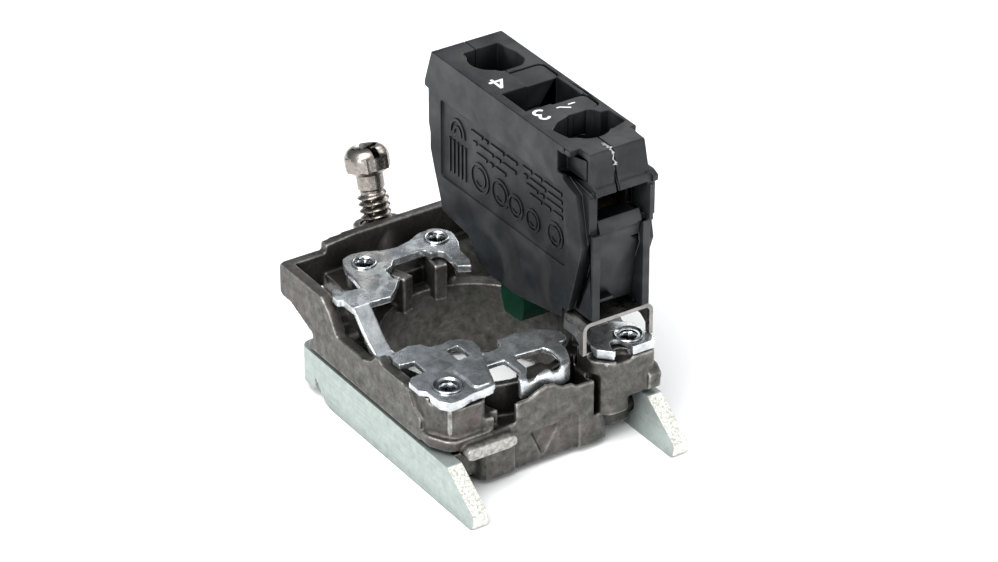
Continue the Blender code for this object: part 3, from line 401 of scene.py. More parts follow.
    # cast step between the left wall and the plate's strip
    parts.append(prism("step", [(10.6, 8.0), (10.6, 13.2), (10.2, 13.1, 0.3), (9.3, 11.2), (9.2, 10.0, 0.2), (8.6, 9.75, 0.2),
                                (7.2, 9.75, 0.3), (6.8, 8.9), (6.6, 8.0)], -13.7, -11.6, "x"))
    ribs = [parts.pop(i) for i in reversed([i for i, q in enumerate(parts) if q.name.startswith("pil")])]
    add(body, *parts)
    holes = [disc("bore", BORE_R, -1.0, 9.9, 64),
             disc("bore2", 11.9, 9.55, 16.0, 64),
             # pocket between the bore ring and the front wall, under the lever
             cut(prism("pocket", [(-8.0, -9.0), (-6.6, -13.6), (-6.0, WALL_IN_Y), (6.3, WALL_IN_Y), (6.3, -12.0),
                                  (7.6, -9.0)], 5.4, 14.0), disc("core", 12.4, 4.0, 16.0, 48)),
             # room for the plunger's foot
             box("foot_room", 6.0, 16.0, PLUNGER_Y - 3.0, PLUNGER_Y + 3.0, 8.6, 13.5),
             # arrow panel let into the front face: field, chamfer above it, sunk triangle, two upright grooves
             box("panel", -4.12, 4.12, FRONT_Y - 2.0, FRONT_Y + 0.35, -1.0, 4.3),
             prism("chamfer", [(-17.0, 4.2), (-15.44, 4.2), (-15.78, 5.7), (-17.0, 5.7)], -4.11, 4.11, "x"),
             prism("vee", [(-2.15, 4.45), (1.7, 4.45), (-0.5, 0.75)], FRONT_Y - 2.0, FRONT_Y + 0.75, "y"),
             box("g1", -4.45, -4.1, FRONT_Y - 2.0, FRONT_Y + 0.6, -1.0, 4.75),
             box("g2", 4.1, 4.4, FRONT_Y - 2.0, FRONT_Y + 0.6, -1.0, 4.9),
             # deep gap between the front wall and the right column
             prism("gap_r", [(6.4, -13.8), (7.3, -14.2), (7.3, -18.0), (6.9, -18.0)], 3.9, 9.2),
             # gaps beside the front wall
             prism("gap_l", [(-7.4, -14.7), (-4.4, -14.7), (-4.4, -17.6), (-7.4, -17.6)], 6.6, 12.0),
             # rebates for the turned-down lips of the sheet plates
             prism("reb1", [(-15.6, -12.3), (-13.44, -12.3), (-13.34, -14.2), (-12.86, -14.84), (-11.7, -14.84),
                            (-10.2, -14.39), (-8.5, -14.34), (-6.0, -14.1), (-6.0, -17.5), (-15.6, -17.5)], 11.0, 12.5),
             prism("reb2", [(6.0, -14.1), (8.1, -14.1), (8.1, -14.8), (8.92, -15.64), (9.1, -15.64), (9.1, -17.5),
                            (6.0, -17.5)], 11.0, 12.5),
             prism("reb3", [(11.2, -16.04), (15.5, -16.04), (15.5, -17.5), (11.2, -17.5)], 11.0, 12.5),
             # floor hollow between the rear wall and the posts
             prism("hollow", [(-13.2, 10.6, 0.8), (-10.2, 12.5), (-9.4, 16.9, 0.6), (-9.4, 18.65), (-13.3, 18.65)], 9.4, 14.0)]
    cut(body, *holes)
    add(body, *ribs)
    # half-round groove in the front of the right post
    cut(body, disc("groove", 1.25, 10.7, 12.0, 20, at=(10.1, -16.2, 0)))
    # holes for the rivets and the screw
    for name, (x, y, z, zb) in RIVETS.items():
        cut(body, disc("h", 1.2, zb - 1.8, 15.0, 16, at=(x, y, 0)))
    # undercut of the rear wall over the yoke, then the tapped hole
    cut(body, box("under", -3.37, 3.41, 13.71, 24.0, -1.0, 8.93))
    cut(body, disc("tap", 1.72, -9.0, 2.0, 20, matrix=lean @ Matrix.Rotation(0.11, 4, "Z")))
    return body


# ---------------------------------------------------------------- sheet metal
def build_plate():
    t = SHEET
    z1 = PLATE_REAR_Z
    plate = prism("retaining_plate", [
        (-8.9, 15.2), (-8.5, 15.9, 0.5), (-7.2, 16.4, 0.8), (-5.4, 16.1, 0.8), (-3.5, 15.2, 1.0), (-1.6, 14.8, 1.0),
        (0.6, 15.3, 1.0), (2.4, 16.2, 1.4), (4.9, 16.4, 1.4), (6.1, 14.4, 1.6), (5.5, 12.0, 0.8), (4.5, 10.0), (4.2, 7.4),
        (3.6, 6.2), (2.2, 7.0), (2.5, 8.8), (2.6, 10.6, 0.4), (2.1, 11.3, 0.3), (1.1, 11.2, 0.3), (0.9, 12.4, 0.3),
        (-3.5, 12.4, 0.3), (-4.4, 11.3), (-5.5, 10.9), (-5.8, 8.9), (-4.9, 8.7), (-6.4, 7.0), (-7.5, 5.9), (-8.2, 5.4),
        (-11.0, 5.6), (-13.42, 5.6), (-13.42, 7.7, 0.2), (-14.0, 7.9, 0.2), (-14.05, 9.3, 0.2), (-13.42, 9.35),
        (-13.4, 10.4, 0.2), (-12.6, 10.4, 0.2), (-12.5, 9.4), (-10.1, 8.95), (-9.6, 11.7), (-9.3, 14.0)],
        z1 - 0.9, z1, steps=2)
    front_top = PLATE_FRONT_Z
    front = prism("f", [
        (-13.42, -3.3), (-13.3, -2.9), (-11.8, -2.4, 0.2), (-10.6, -2.15, 0.4), (-9.2, -2.6, 0.3), (-8.6, -3.7, 0.4),
        (-7.3, -4.0, 0.4), (-5.8, -3.75, 0.6), (-4.4, -4.3, 0.6), (-3.65, -5.4, 0.6), (-3.7, -7.0, 0.3), (-4.7, -9.3),
        (-5.1, -10.6, 0.6), (-6.1, -13.4, 0.6), (-6.6, -14.8, 0.3), (-8.5, -15.1, 0.5), (-10.1, -15.15, 0.5),
        (-11.8, -15.6, 0.5), (-13.3, -15.6, 0.6), (-14.05, -14.5), (-14.2, -12.0, 0.3), (-14.85, -11.3, 0.2),
        (-14.8, -9.0), (-14.0, -8.3), (-11.9, -8.0), (-11.8, -5.5), (-13.7, -5.2), (-13.7, -3.7), (-13.42, -3.6)],
        front_top - t, front_top, steps=2)
    # lip turned down along the front edge
    lip = prism("lip", [
        (-14.15, -12.4), (-14.02, -14.47), (-13.26, -15.57, 0.6), (-11.82, -15.57, 0.5), (-10.12, -15.12, 0.5),
        (-8.5, -15.07, 0.5), (-6.66, -14.78, 0.3), (-6.8, -14.18), (-8.5, -14.4), (-10.2, -14.45), (-11.7, -14.9), (-12.9, -14.9, 0.3),
        (-13.4, -14.2), (-13.5, -12.4)], 11.1, front_top - 0.2, steps=2)
    # shallow step pressed up beside the front eyelet
    pad = prism("pad", [(-9.3, -9.9, 0.5), (-8.3, -9.4, 0.5), (-5.4, -9.9, 0.3), (-5.8, -11.4), (-6.6, -13.8, 0.4),
                        (-7.1, -14.4, 0.3), (-9.2, -14.4, 0.5), (-9.0, -12.2)], front_top - 0.2, front_top + 0.22, steps=2)
    # leg that steps down steeply from the rear plate and up again to the front one
    leg = prism("s", [(6.9, z1 - 0.9), (6.9, z1 - 0.02), (5.7, z1 - 0.02, 0.6), (4.6, 13.6), (2.9, 11.95), (1.9, 11.1, 0.6),
                      (0.8, 10.5, 0.4), (-0.5, 10.45, 0.4), (-1.4, 10.9, 0.4), (-2.3, 12.1, 0.3), (-2.9, front_top - 0.02),
                      (-3.5, front_top - 0.02), (-3.5, front_top - t), (-2.9, 11.55, 0.3), (-1.9, 10.3, 0.4),
                      (-1.0, 9.72, 0.3), (0.9, 9.76, 0.5), (2.2, 10.4, 0.5), (4.4, 12.5), (5.2, 13.4, 0.3), (5.5, z1 - 0.9)],
                -13.39, -11.03, "x", steps=2)
    add(plate, front, lip, pad, leg)
    cut(plate, prism("sq", [(-7.45, -5.4), (-5.75, -5.2), (-5.6, -7.8), (-7.3, -8.1)], 10.0, 14.0))
    for key in ("rivet_rear_left", "rivet_rear_right", "rivet_front_left"):
        x, y, z, zb = RIVETS[key]
        cut(plate, disc("h", 1.25, 8.0, 17.0, 16, at=(x, y, 0)))
    return plate


def build_catch():
    t = SHEET
    z1 = PLATE_FRONT_Z
    p = prism("catch_plate", [
        (7.3, -13.9), (7.35, -15.0, 0.2), (8.75, -16.5, 0.2), (9.0, -16.5), (9.0, -15.9), (9.4, -14.6, 0.5), (10.2, -14.1, 0.8),
        (11.0, -14.6, 0.5), (11.3, -15.9), (11.3, -16.75), (14.6, -16.75, 0.2), (14.8, -15.2, 0.8), (14.4, -12.0, 1.0),
        (12.6, -10.6, 0.6), (9.2, -10.6), (7.9, -12.0)], z1 - t, z1, steps=2)
    add(p, prism("l1", [(7.32, -14.2), (7.36, -14.98), (8.76, -16.48), (8.98, -16.48), (8.98, -15.72), (8.85, -15.72),
                        (8.02, -14.82), (8.02, -14.2)], 11.1, z1 - 0.2),
        prism("l2", [(11.32, -16.12), (11.32, -16.73), (14.35, -16.73), (14.62, -16.12)], 11.1, z1 - 0.2))
    x, y, z, zb = RIVETS["rivet_front_right"]
    cut(p, disc("h", 1.25, 8.0, 17.0, 16, at=(x, y, 0)))
    return p


def build_rivet(name, seg=20):
    x, y, z, zb = RIVETS[name]
    r = 1.85 if "front" in name else 1.55
    p = [(1.12, zb - 1.0), (1.12, z + 0.03), (r - 0.03, z + 0.03), (r, z + 0.12), (r - 0.12, z + 0.24), (r - 0.3, z + 0.24),
         (1.12, z + 0.0), (0.92, z - 0.35), (0.78, z - 0.75), (0.74, zb - 1.0)]
    return lathe(name, p, seg, at=(x, y, 0))


def build_lever():
    """Flat blade under the retaining plate, with a loop handle turned down at the front."""
    t = 0.7
    z1 = 11.4
    lever = prism("locking_lever", [
        (-5.7, -8.2, 0.4), (-5.7, -9.6, 0.3), (-2.15, -9.7), (4.2, -9.6), (6.9, -9.9, 0.6), (7.0, -7.7, 0.8),
        (4.4, -5.5, 0.8), (1.8, -5.2, 0.6), (-0.4, -5.5), (-0.8, -6.9, 0.3), (-3.5, -7.4)], z1 - t, z1, steps=2)
    handle = prism("flat", [(-2.15, -9.0), (-2.15, -13.0, 0.5), (-3.1, -14.0, 0.3), (-3.1, -14.75), (2.9, -14.75, 0.8),
                            (4.1, -14.3, 0.8), (4.9, -13.0, 1.0), (5.6, -11.3, 1.5), (5.4, -9.0)], z1 - t, z1, steps=3)
    apron = prism("apron", [(-3.1, -14.06), (-3.1, -14.75), (2.9, -14.75, 0.8), (4.1, -14.3, 0.8), (4.68, -13.4),
                            (4.05, -13.1), (3.6, -13.7, 0.4), (2.8, -14.06, 0.4)], 8.75, z1 - 0.3, steps=3)
    add(lever, handle, apron)
    # bend rounded over at the front
    cut(lever, prism("bend", [(-14.2, z1 + 0.3), (-14.2, z1, 0.0), (-14.62, z1 - 0.17), (-14.76, z1 - 0.6), (-15.2, z1 - 0.6),
                              (-15.2, z1 + 0.3)], -4.0, 2.9, "x"))
    window = [(-0.7, -9.55, 0.2), (3.2, -9.9, 0.4), (3.65, -11.2, 0.5), (3.45, -13.2, 0.3), (2.7, -14.2), (2.3, -15.2),
              (1.45, -15.2), (1.35, -14.0, 0.2), (0.9, -13.8, 0.2), (-0.7, -14.3), (-1.3, -15.2), (-2.2, -15.2),
              (-1.8, -13.9), (-0.75, -12.6, 0.3)]
    cut(lever, prism("w1", window, 10.86, 13.0, steps=2),
        keep(prism("w2", window, 9.9, 13.0, steps=2), box("w3", -6.0, 6.0, -14.0, -5.0, 9.0, 14.0)))
    return lever


def build_yoke():
    arm = [(ARM_REAR_Y, ARM_TOP, 0.3), (-17.4, ARM_TOP, 0.3), (ARM_TIP_Y, 1.25, 0.5), (ARM_TIP_Y + 0.35, ARM_BOT, 0.8),
           (9.3, ARM_BOT, 3.5), (ARM_REAR_Y, 3.2, 1.5)]
    left = prism("clamp_yoke", arm, -15.0, -15.0 + ARM_T, "x")
    right = prism("r", arm, 15.0 - ARM_T, 15.0, "x")
    bridge = prism("bridge", [(-15.0, 12.0), (-15.0, 15.4, 1.3), (15.0, 15.4, 1.3), (15.0, 12.0), (13.0, 12.0),
                              (13.0, 14.0, 0.3), (-13.0, 14.0, 0.3), (-13.0, 12.0)], 0.4, ARM_TOP)
    tongue = prism("tongue", [(-3.0, 15.0), (-3.0, 21.3, 1.6), (3.0, 21.3, 1.6), (3.0, 15.0)], 3.2, 5.2)
    yoke = add(left, right, bridge, tongue)
    cut(yoke, prism("slot", [(-1.35, 16.2, 1.3), (1.35, 16.2, 1.3), (1.35, 20.5, 1.3), (-1.35, 20.5, 1.3)], 2.0, 7.0))
    for s in (-1, 1):
        cut(yoke, disc("hole", 1.35, min(s * 12.5, s * 14.1), max(s * 12.5, s * 14.1), 16, "x", (0, PIVOT_Y, PIVOT_Z)))
    return yoke


# ------------------------------------------------------------------ fasteners
def screw_frame():
    return Matrix.Translation(SCREW_BASE) @ Matrix.Rotation(-SCREW_TILT, 4, "X")


def build_clamp_screw(seg=16, per=3):
    """Combination-head screw; local z runs along its axis, 0 at the boss face."""
    s = threaded("clamp_screw", 1.22, 1.62, SCREW_PITCH, -8.3, 4.3, seg, per,
                 ([(1.0, -12.85), (1.0, -8.85), (1.22, -8.6)], [(1.45, 4.6), (1.45, 6.5)]))
    head = lathe("head", [(0, 6.3), (1.7, 6.3), (2.5, 7.3), (2.5, 8.2), (2.15, 8.9), (1.2, 9.25), (0, 9.3)], seg)
    flats = prism("hexa", [(2.62 * math.cos(math.radians(a)), 2.62 * math.sin(math.radians(a)))
                           for a in range(0, 360, 60)], 6.6, 8.5)
    head = add(head, flats)
    s = add(s, head)
    cut(s, box("sl1", -0.35, 0.35, -3.0, 3.0, 8.3, 10.0))
    cut(s, box("sl2", -1.5, 1.5, -0.35, 0.35, 7.6, 10.0))
    s.data.transform(screw_frame())
    return s


def build_end_washer(seg=20):
    w = lathe("screw_end_washer", [(1.06, -12.75), (1.9, -12.75), (1.9, -12.15), (1.06, -12.15)], seg)
    w.data.transform(screw_frame())
    return w


# -------------------------------------------------------------- contact block
def block_outline():
    return [(17.0, BLOCK_TOP, 0.2), (18.6, 33.7, 0.3), (18.6, 33.0, 0.2), (17.75, 32.9), (17.75, 28.4), (17.4, 27.1), (17.4, 25.0),
            (16.5, 22.3), (15.3, 19.2), (14.7, 17.5, 0.3), (9.1, 16.9), (8.1, 15.9), (6.6, 14.2, 0.5), (4.2, 13.7),
            (-1.2, 13.7), (-11.7, 15.7, 0.3), (-15.3, 25.3, 0.3), (-13.7, 33.0), (-11.0, 34.2, 0.3), (-11.4, BLOCK_TOP, 0.2)]


TERMINALS = {"front": -8.3, "rear": 11.6}


def build_block():
    """Whole moulding with its hollows; split afterwards into body and cover."""
    body = prism("block", block_outline(), BLOCK_X0, BLOCK_X1, "x")
    nose = prism("nose", [(-10.0, 27.6), (-16.4, 28.4), (-16.4, 33.7, 0.4), (-15.4, 34.4, 0.2), (-14.4, BLOCK_TOP, 0.3), (-10.0, BLOCK_TOP)],
                 6.4, 14.1, "x")
    flange1 = prism("fl1", [(-9.0, 16.95), (-16.0, 16.95), (-16.0, 33.3, 0.3), (-15.2, 33.8, 0.3), (-9.0, 34.4)], 5.95, 7.05, "x")
    flange2 = prism("fl2", [(-9.0, 16.95), (-16.0, 16.95), (-16.0, 28.5), (-15.0, 33.0), (-9.0, 33.0)], 13.0, 14.0, "x")
    cheek = prism("ck", [(-9.0, 28.6), (-15.6, 28.6), (-15.6, 32.9), (-16.2, 33.4, 0.2), (-16.2, 34.1, 0.2), (-15.3, 34.5), (-9.0, 34.5)],
                  13.6, 14.85, "x")
    lip = box("lip", 5.0, 7.0, -12.4, -10.5, 37.45, BLOCK_TOP)
    add(body, nose, flange1, flange2, cheek, lip)
    cutters = [
        # label panel let into the left face
        prism("label", [(14.95, 32.6, 0.3), (15.0, 22.3, 0.3), (-11.6, 22.6, 0.3), (-11.0, 32.6, 0.3)], BLOCK_X0 - 1, BLOCK_X0 + 0.3, "x"),
        # wire entries
        box("we_f", 7.2, 12.8, -18.0, -5.3, 28.9, 33.2),
        box("we_r", 7.2, 12.8, 10.1, 20.0, 28.9, 33.2),
        # three-cornered pocket behind the left flange
        prism("tri", [(-12.5, 17.4), (-15.35, 27.7), (-15.35, 22.4), (-13.1, 17.4)], 4.0, 6.75, "x"),
        # wider mouth of the front wire entry, and the sunk field below it
        box("mouth", 7.3, 13.55, -18.0, -12.6, 29.15, 33.05),
        prism("rec", [(-18.0, 17.5), (-18.0, 29.6), (-15.55, 29.6), (-15.5, 28.8), (-14.9, 26.8), (-14.2, 24.0),
                      (-13.7, 21.0), (-13.4, 17.5)], 7.08, 12.98, "x"),
        # undercut behind the nose, under the corner lip
        box("undercut", 4.0, 6.42, -14.0, -9.9, 34.6, 37.3),
        # screw wells: round with a square notch
        disc("wf", 2.9, 30.0, 40.0, 28, at=(10.0, TERMINALS["front"], 0)),
        prism("wfn", [(7.8, -5.8, 0.5), (9.7, -5.2, 0.5), (11.7, -4.8, 0.6), (13.0, -5.4, 0.5), (13.35, -6.4, 0.2),
                      (14.4, -6.6, 0.2), (14.5, -9.7, 0.2), (12.4, -10.4, 0.2), (10.9, -9.9, 0.4), (8.8, -10.6, 0.5),
                      (6.8, -9.6, 0.5), (6.3, -7.1, 0.5)], 33.5, 40.0),
        disc("wr", 2.9, 30.0, 40.0, 28, at=(10.0, TERMINALS["rear"], 0)),
        prism("wrn", [(7.9, 14.5, 0.2), (12.85, 14.6, 0.2), (13.0, 13.2, 0.3), (13.4, 11.6, 0.8), (13.3, 9.3, 1.0),
                      (12.2, 8.3, 0.8), (9.3, 8.2, 0.8), (7.9, 10.4, 0.8), (7.7, 12.6, 0.3)], 33.5, 40.0),
        disc("wr2", 2.9, 28.95, 31.0, 28, at=(10.0, TERMINALS["rear"], 0)),
        disc("wf2", 2.9, 28.95, 31.0, 28, at=(10.0, TERMINALS["front"], 0)),
        # room below the terminals for the screw ends
        disc("wf3", 1.7, 25.4, 29.2, 20, at=(10.0, TERMINALS["front"], 0)),
        disc("wr3", 1.7, 25.4, 29.2, 20, at=(10.0, TERMINALS["rear"], 0)),
        # middle slot between the two tongues
        box("slot", 6.2, 13.9, -1.6, 3.5, 32.6, 40.0),
        # contact chamber, open below for the plunger and above for its spring
        box("chamber", 6.9, 13.1, -4.6, 8.2, 23.0, 28.3),
        box("throat", 6.2, 13.8, PLUNGER_Y - 2.7, PLUNGER_Y + 2.7, 10.0, 23.1),
        box("headroom", 7.1, 12.9, PLUNGER_Y - 1.9, PLUNGER_Y + 1.9, 28.0, 29.3),
        disc("spring_well", 1.75, 29.0, 31.6, 24, at=(10.0, PLUNGER_Y, 0)),
        # channels that hold the fixed contacts
        box("ch_f", 7.2, 12.8, -11.7, -4.7, 28.12, 29.0),
        box("ch_r", 7.2, 12.8, 8.0, 14.9, 28.12, 29.0),
        box("ln_f", 8.5, 11.5, -5.5, -4.5, 27.45, 28.95),
        box("ln_r", 8.5, 11.5, 7.8, 8.8, 27.45, 28.95),
        # seat of the clip
        box("seat", 4.0, 5.62, -18.0, -11.0, 10.0, 16.9),
        box("seat2", 14.38, 16.0, -18.0, -11.0, 10.0, 16.9),
        box("seat3", 4.0, 16.0, -18.0, -11.0, 10.0, 16.85)]
    cut(body, *cutters)
    return body


def split_block():
    whole = build_block()
    right = whole.copy()
    right.data = whole.data.copy()
    right.name = "block_cover"
    bpy.context.scene.collection.objects.link(right)
    whole.name = "block_housing"
    g = GAP / 2
    cut(whole, box("c1", BLOCK_SPLIT - g, 20.0, -30.0, 30.0, 0.0, 50.0))
    cut(right, box("c2", 0.0, BLOCK_SPLIT + g, -30.0, 30.0, 0.0, 50.0))
    # the marked tongues belong to the housing and reach across the cover
    for y0, y1 in ((-4.9, -1.66), (3.56, 7.4)):
        zt = BLOCK_TOP - 0.15
        cut(right, prism("t", [(9.0, y0 - 0.12), (14.42, y0 - 0.12, 0.8), (14.42, y1 + 0.12, 0.8), (9.0, y1 + 0.12)], 35.0, 40.0))
        add(whole, prism("t", [(9.0, y0), (14.3, y0, 0.7), (14.3, y1, 0.7), (9.0, y1)], 35.1, zt))
    return whole, right


def build_clip():
    """Sheet clip straddling the right post, hooked under the block."""
    t = 0.5
    prof = [(5.05, 12.4), (5.05, 16.6, 1.0), (14.95, 16.6, 1.0), (14.95, 12.4), (14.95 - t, 12.4), (14.95 - t, 16.6 - t, 0.6),
            (5.05 + t, 16.6 - t, 0.6), (5.05 + t, 12.4)]
    clip = prism("block_clip", prof, -15.5, -11.5, "y", steps=4)
    cut(clip, prism("nose", [(-11.0, 10.0), (-14.7, 10.0), (-14.7, 13.6, 0.4), (-13.6, 14.3, 0.3), (-11.0, 14.3)], 4.0, 16.0, "x"))
    return clip


def build_plunger():
    """Foot below the block, and the frame above it whose window carries the bridge."""
    y = PLUNGER_Y
    foot = prism("plunger", [(y - 2.45, 10.4), (y - 1.9, 8.9, 0.3), (y + 1.6, 8.75, 0.3), (y + 2.45, 10.8), (y + 2.45, 18.0),
                             (y - 2.45, 18.0)], 6.5, 13.5, "x")
    frame = box("frame", 7.4, 12.6, y - 1.6, y + 1.6, 17.0, 24.6)
    add(foot, frame)
    cut(foot, box("window", 8.7, 11.3, y - 3.0, y + 3.0, 20.2, 23.9))
    return foot


def build_bridge():
    y = PLUNGER_Y
    return prism("contact_bridge", [(8.9, y - 5.6, 0.5), (11.1, y - 5.6, 0.5), (11.1, y + 5.6, 0.5), (8.9, y + 5.6, 0.5)],
                 BRIDGE_Z, BRIDGE_Z + 0.6)


def build_tip(name, y, z0, z1):
    return lathe(name, [(0, z0), (0.8, z0), (0.8, z1), (0, z1)], 16, at=(10.0, y, 0))


def build_fixed(name, sign):
    """Brass strip: screw plate in the terminal, step down into the chamber."""
    def at(d):
        return PLUNGER_Y + sign * d
    link = prism(name, [(at(3.9), 27.55), (at(7.05), 27.55), (at(7.05), 28.85), (at(6.4), 28.85), (at(6.4), 28.2),
                        (at(3.9), 28.2)], 8.6, 11.4, "x")
    end = 13.1
    plate = prism("plate", [(7.3, at(6.6)), (12.7, at(6.6)), (12.7, at(end), 0.4), (7.3, at(end), 0.4)], 28.2, 28.85)
    strip = add(link, plate)
    y = TERMINALS["front"] if sign < 0 else TERMINALS["rear"]
    cut(strip, disc("hole", 1.55, 27.0, 30.0, 20, at=(10.0, y, 0)))
    return strip


def build_terminal_screw(name, y, seg=14, per=3):
    s = threaded(name, 1.15, 1.45, 0.6, 28.8, 32.2, seg, per, ([(1.0, 28.55)], [(1.3, 32.4), (1.3, 33.0)]))
    head = lathe("h", [(0, 32.9), (2.55, 32.9), (2.55, 34.4), (2.2, 34.9), (0, 34.95)], 24)
    add(s, head)
    cut(s, box("slot", -3.0, 3.0, -0.4, 0.4, 33.9, 36.0))
    s.data.transform(Matrix.Translation((10.0, y, 0)))
    return s


def build_washer(name, y):
    w = lathe(name, [(1.6, 31.9), (2.55, 31.9), (2.55, 32.75), (1.6, 32.75)], 20)
    w.data.transform(Matrix.Translation((10.0, y, 0)))
    return w



# ------------------------------------------------------------------ surfaces
def new_material(name):
    m = bpy.data.materials.new(name)
    m.use_nodes = True
    nt = m.node_tree
    b = nt.nodes["Principled BSDF"]
    tc = nt.nodes.new("ShaderNodeTexCoord")
    mp = nt.nodes.new("ShaderNodeMapping")
    mp.inputs["Scale"].default_value = (1000, 1000, 1000)
    nt.links.new(tc.outputs["Object"], mp.inputs["Vector"])
    return m, nt, b, mp.outputs["Vector"]


def tex_noise(nt, vec, scale, detail=4.0, rough=0.55, distort=0.0):
    n = nt.nodes.new("ShaderNodeTexNoise")
    n.inputs["Scale"].default_value = scale
    n.inputs["Detail"].default_value = detail
    n.inputs["Roughness"].default_value = rough
    n.inputs["Distortion"].default_value = distort
    nt.links.new(vec, n.inputs["Vector"])
    return n.outputs["Fac"]


def ramp(nt, fac, stops):
    r = nt.nodes.new("ShaderNodeValToRGB")
    els = r.color_ramp.elements
    while len(els) < len(stops):
        els.new(0.5)
    for e, (p, c) in zip(els, stops):
        e.position = p
        e.color = (*c, 1.0) if not isinstance(c, float) else (c, c, c, 1.0)
    nt.links.new(fac, r.inputs["Fac"])
    return r.outputs["Color"]


def mix(nt, fac, a, b, mode="MIX"):
    m = nt.nodes.new("ShaderNodeMix")
    m.data_type = "RGBA"
    m.blend_type = mode
    if isinstance(fac, float):
        m.inputs[0].default_value = fac
    else:
        nt.links.new(fac, m.inputs[0])
    for sock, v in ((m.inputs[6], a), (m.inputs[7], b)):
        if isinstance(v, tuple):
            sock.default_value = (*v, 1.0)
        else:
            nt.links.new(v, sock)
    return m.outputs[2]


def bump(nt, b, height, strength, distance):
    n = nt.nodes.new("ShaderNodeBump")
    n.inputs["Strength"].default_value = strength
    n.inputs["Distance"].default_value = distance
    nt.links.new(height, n.inputs["Height"])
    nt.links.new(n.outputs["Normal"], b.inputs["Normal"])


def painted_occlusion_shade(nt, reach, lo, floor_value):
    """Painted shade: grey mask from ambient occlusion, dark where surfaces within reach close the point in."""
    ao = nt.nodes.new("ShaderNodeAmbientOcclusion")
    ao.samples = 6
    ao.inputs["Distance"].default_value = reach * MM
    return ramp(nt, ao.outputs["AO"], [(lo, (floor_value, floor_value, floor_value)), (0.92, (1.0, 1.0, 1.0))])


def edge_mask(nt, lo, hi):
    """White on worn outer edges, from the curvature of the mesh."""
    g = nt.nodes.new("ShaderNodeNewGeometry")
    return ramp(nt, g.outputs["Pointiness"], [(lo, (0.0, 0.0, 0.0)), (hi, (1.0, 1.0, 1.0))])


def mat_casting():
    m, nt, b, v = new_material("cast_zinc")
    big = tex_noise(nt, v, 0.22, 3.0, 0.6, 0.6)
    mid = tex_noise(nt, v, 0.9, 5.0, 0.65, 0.3)
    fine = tex_noise(nt, v, 7.0, 4.0, 0.7)
    grey = ramp(nt, mid, [(0.3, (0.058, 0.057, 0.052)), (0.55, (0.108, 0.106, 0.097)), (0.75, (0.172, 0.168, 0.155))])
    red = ramp(nt, big, [(0.50, (0.0, 0.0, 0.0)), (0.74, (0.50, 0.50, 0.50))])
    col = mix(nt, red, grey, (0.135, 0.098, 0.092))
    spots = ramp(nt, fine, [(0.30, (0.55, 0.55, 0.55)), (0.42, (1.0, 1.0, 1.0))])
    col = mix(nt, 0.6, col, spots, "MULTIPLY")
    pits = ramp(nt, tex_noise(nt, v, 2.6, 2.0, 0.5), [(0.30, (0.35, 0.35, 0.35)), (0.37, (1.0, 1.0, 1.0))])
    col = mix(nt, 0.5, col, pits, "MULTIPLY")
    # painted shade: ambient occlusion darkens the casting in its hollows and corners
    col = mix(nt, 0.92, col, painted_occlusion_shade(nt, 3.4, 0.30, 0.10), "MULTIPLY")
    worn = edge_mask(nt, 0.512, 0.575)
    wear = mix(nt, ramp(nt, mid, [(0.35, (0.25, 0.25, 0.25)), (0.65, (1.0, 1.0, 1.0))]), (0.0, 0.0, 0.0), worn)
    # the front lug stands proud and is rubbed bright
    sep = nt.nodes.new("ShaderNodeSeparateXYZ")
    nt.links.new(v, sep.inputs["Vector"])
    masks = []
    for axis, shift in (("Y", -16.3), ("X", -4.2)):
        k = nt.nodes.new("ShaderNodeMath")
        k.operation = "MULTIPLY_ADD"
        k.inputs[1].default_value = -1.0
        k.inputs[2].default_value = shift
        nt.links.new(sep.outputs[axis], k.inputs[0])
        masks.append(ramp(nt, k.outputs["Value"], [(0.05, (0.0, 0.0, 0.0)), (0.75, (1.0, 1.0, 1.0))]))
    lug = mix(nt, 1.0, masks[0], masks[1], "MULTIPLY")
    rubbed = ramp(nt, tex_noise(nt, v, 1.6, 3.0, 0.6), [(0.35, (0.30, 0.30, 0.30)), (0.6, (0.90, 0.90, 0.90))])
    wear = mix(nt, 1.0, wear, mix(nt, 1.0, lug, rubbed, "MULTIPLY"), "LIGHTEN")
    col = mix(nt, wear, col, (0.50, 0.485, 0.455))
    nt.links.new(col, b.inputs["Base Color"])
    b.inputs["Metallic"].default_value = 0.9
    rr = ramp(nt, mid, [(0.3, 0.52), (0.7, 0.34)])
    nt.links.new(rr, b.inputs["Roughness"])
    bump(nt, b, fine, 0.35, 0.00006)
    return m


def mat_plated(name, tint, r0, r1, wave=0.00004, deep=(1.6, 0.2, 0.22), edge=None, metal=1.0):
    m, nt, b, v = new_material(name)
    big = tex_noise(nt, v, 0.35, 3.0, 0.5, 0.4)
    fine = tex_noise(nt, v, 2.0, 2.0, 0.5)
    haze = tex_noise(nt, v, 0.55, 2.0, 0.5, 0.6)
    dark = tuple(0.72 * c for c in tint)
    col = ramp(nt, big, [(0.35, dark), (0.62, tint)])
    col = mix(nt, 0.3, col, ramp(nt, fine, [(0.35, (0.66, 0.68, 0.72)), (0.6, (1.0, 1.0, 1.0))]), "MULTIPLY")
    blot = tex_noise(nt, v, 0.8, 2.5, 0.55, 0.8)
    col = mix(nt, 0.5, col, ramp(nt, blot, [(0.34, (0.55, 0.58, 0.62)), (0.5, (1.0, 1.0, 1.0))]), "MULTIPLY")
    # painted shade: ambient occlusion darkens the plating in corners and under neighbouring parts
    col = mix(nt, 0.7 if edge is None else 0.9, col, painted_occlusion_shade(nt, *deep), "MULTIPLY")
    if edge:
        col = mix(nt, edge_mask(nt, 0.57, 0.68), col, edge)
    nt.links.new(col, b.inputs["Base Color"])
    b.inputs["Metallic"].default_value = metal
    nt.links.new(ramp(nt, haze, [(0.38, r1), (0.62, r0)]), b.inputs["Roughness"])
    bump(nt, b, big, 0.5, wave)
    return m


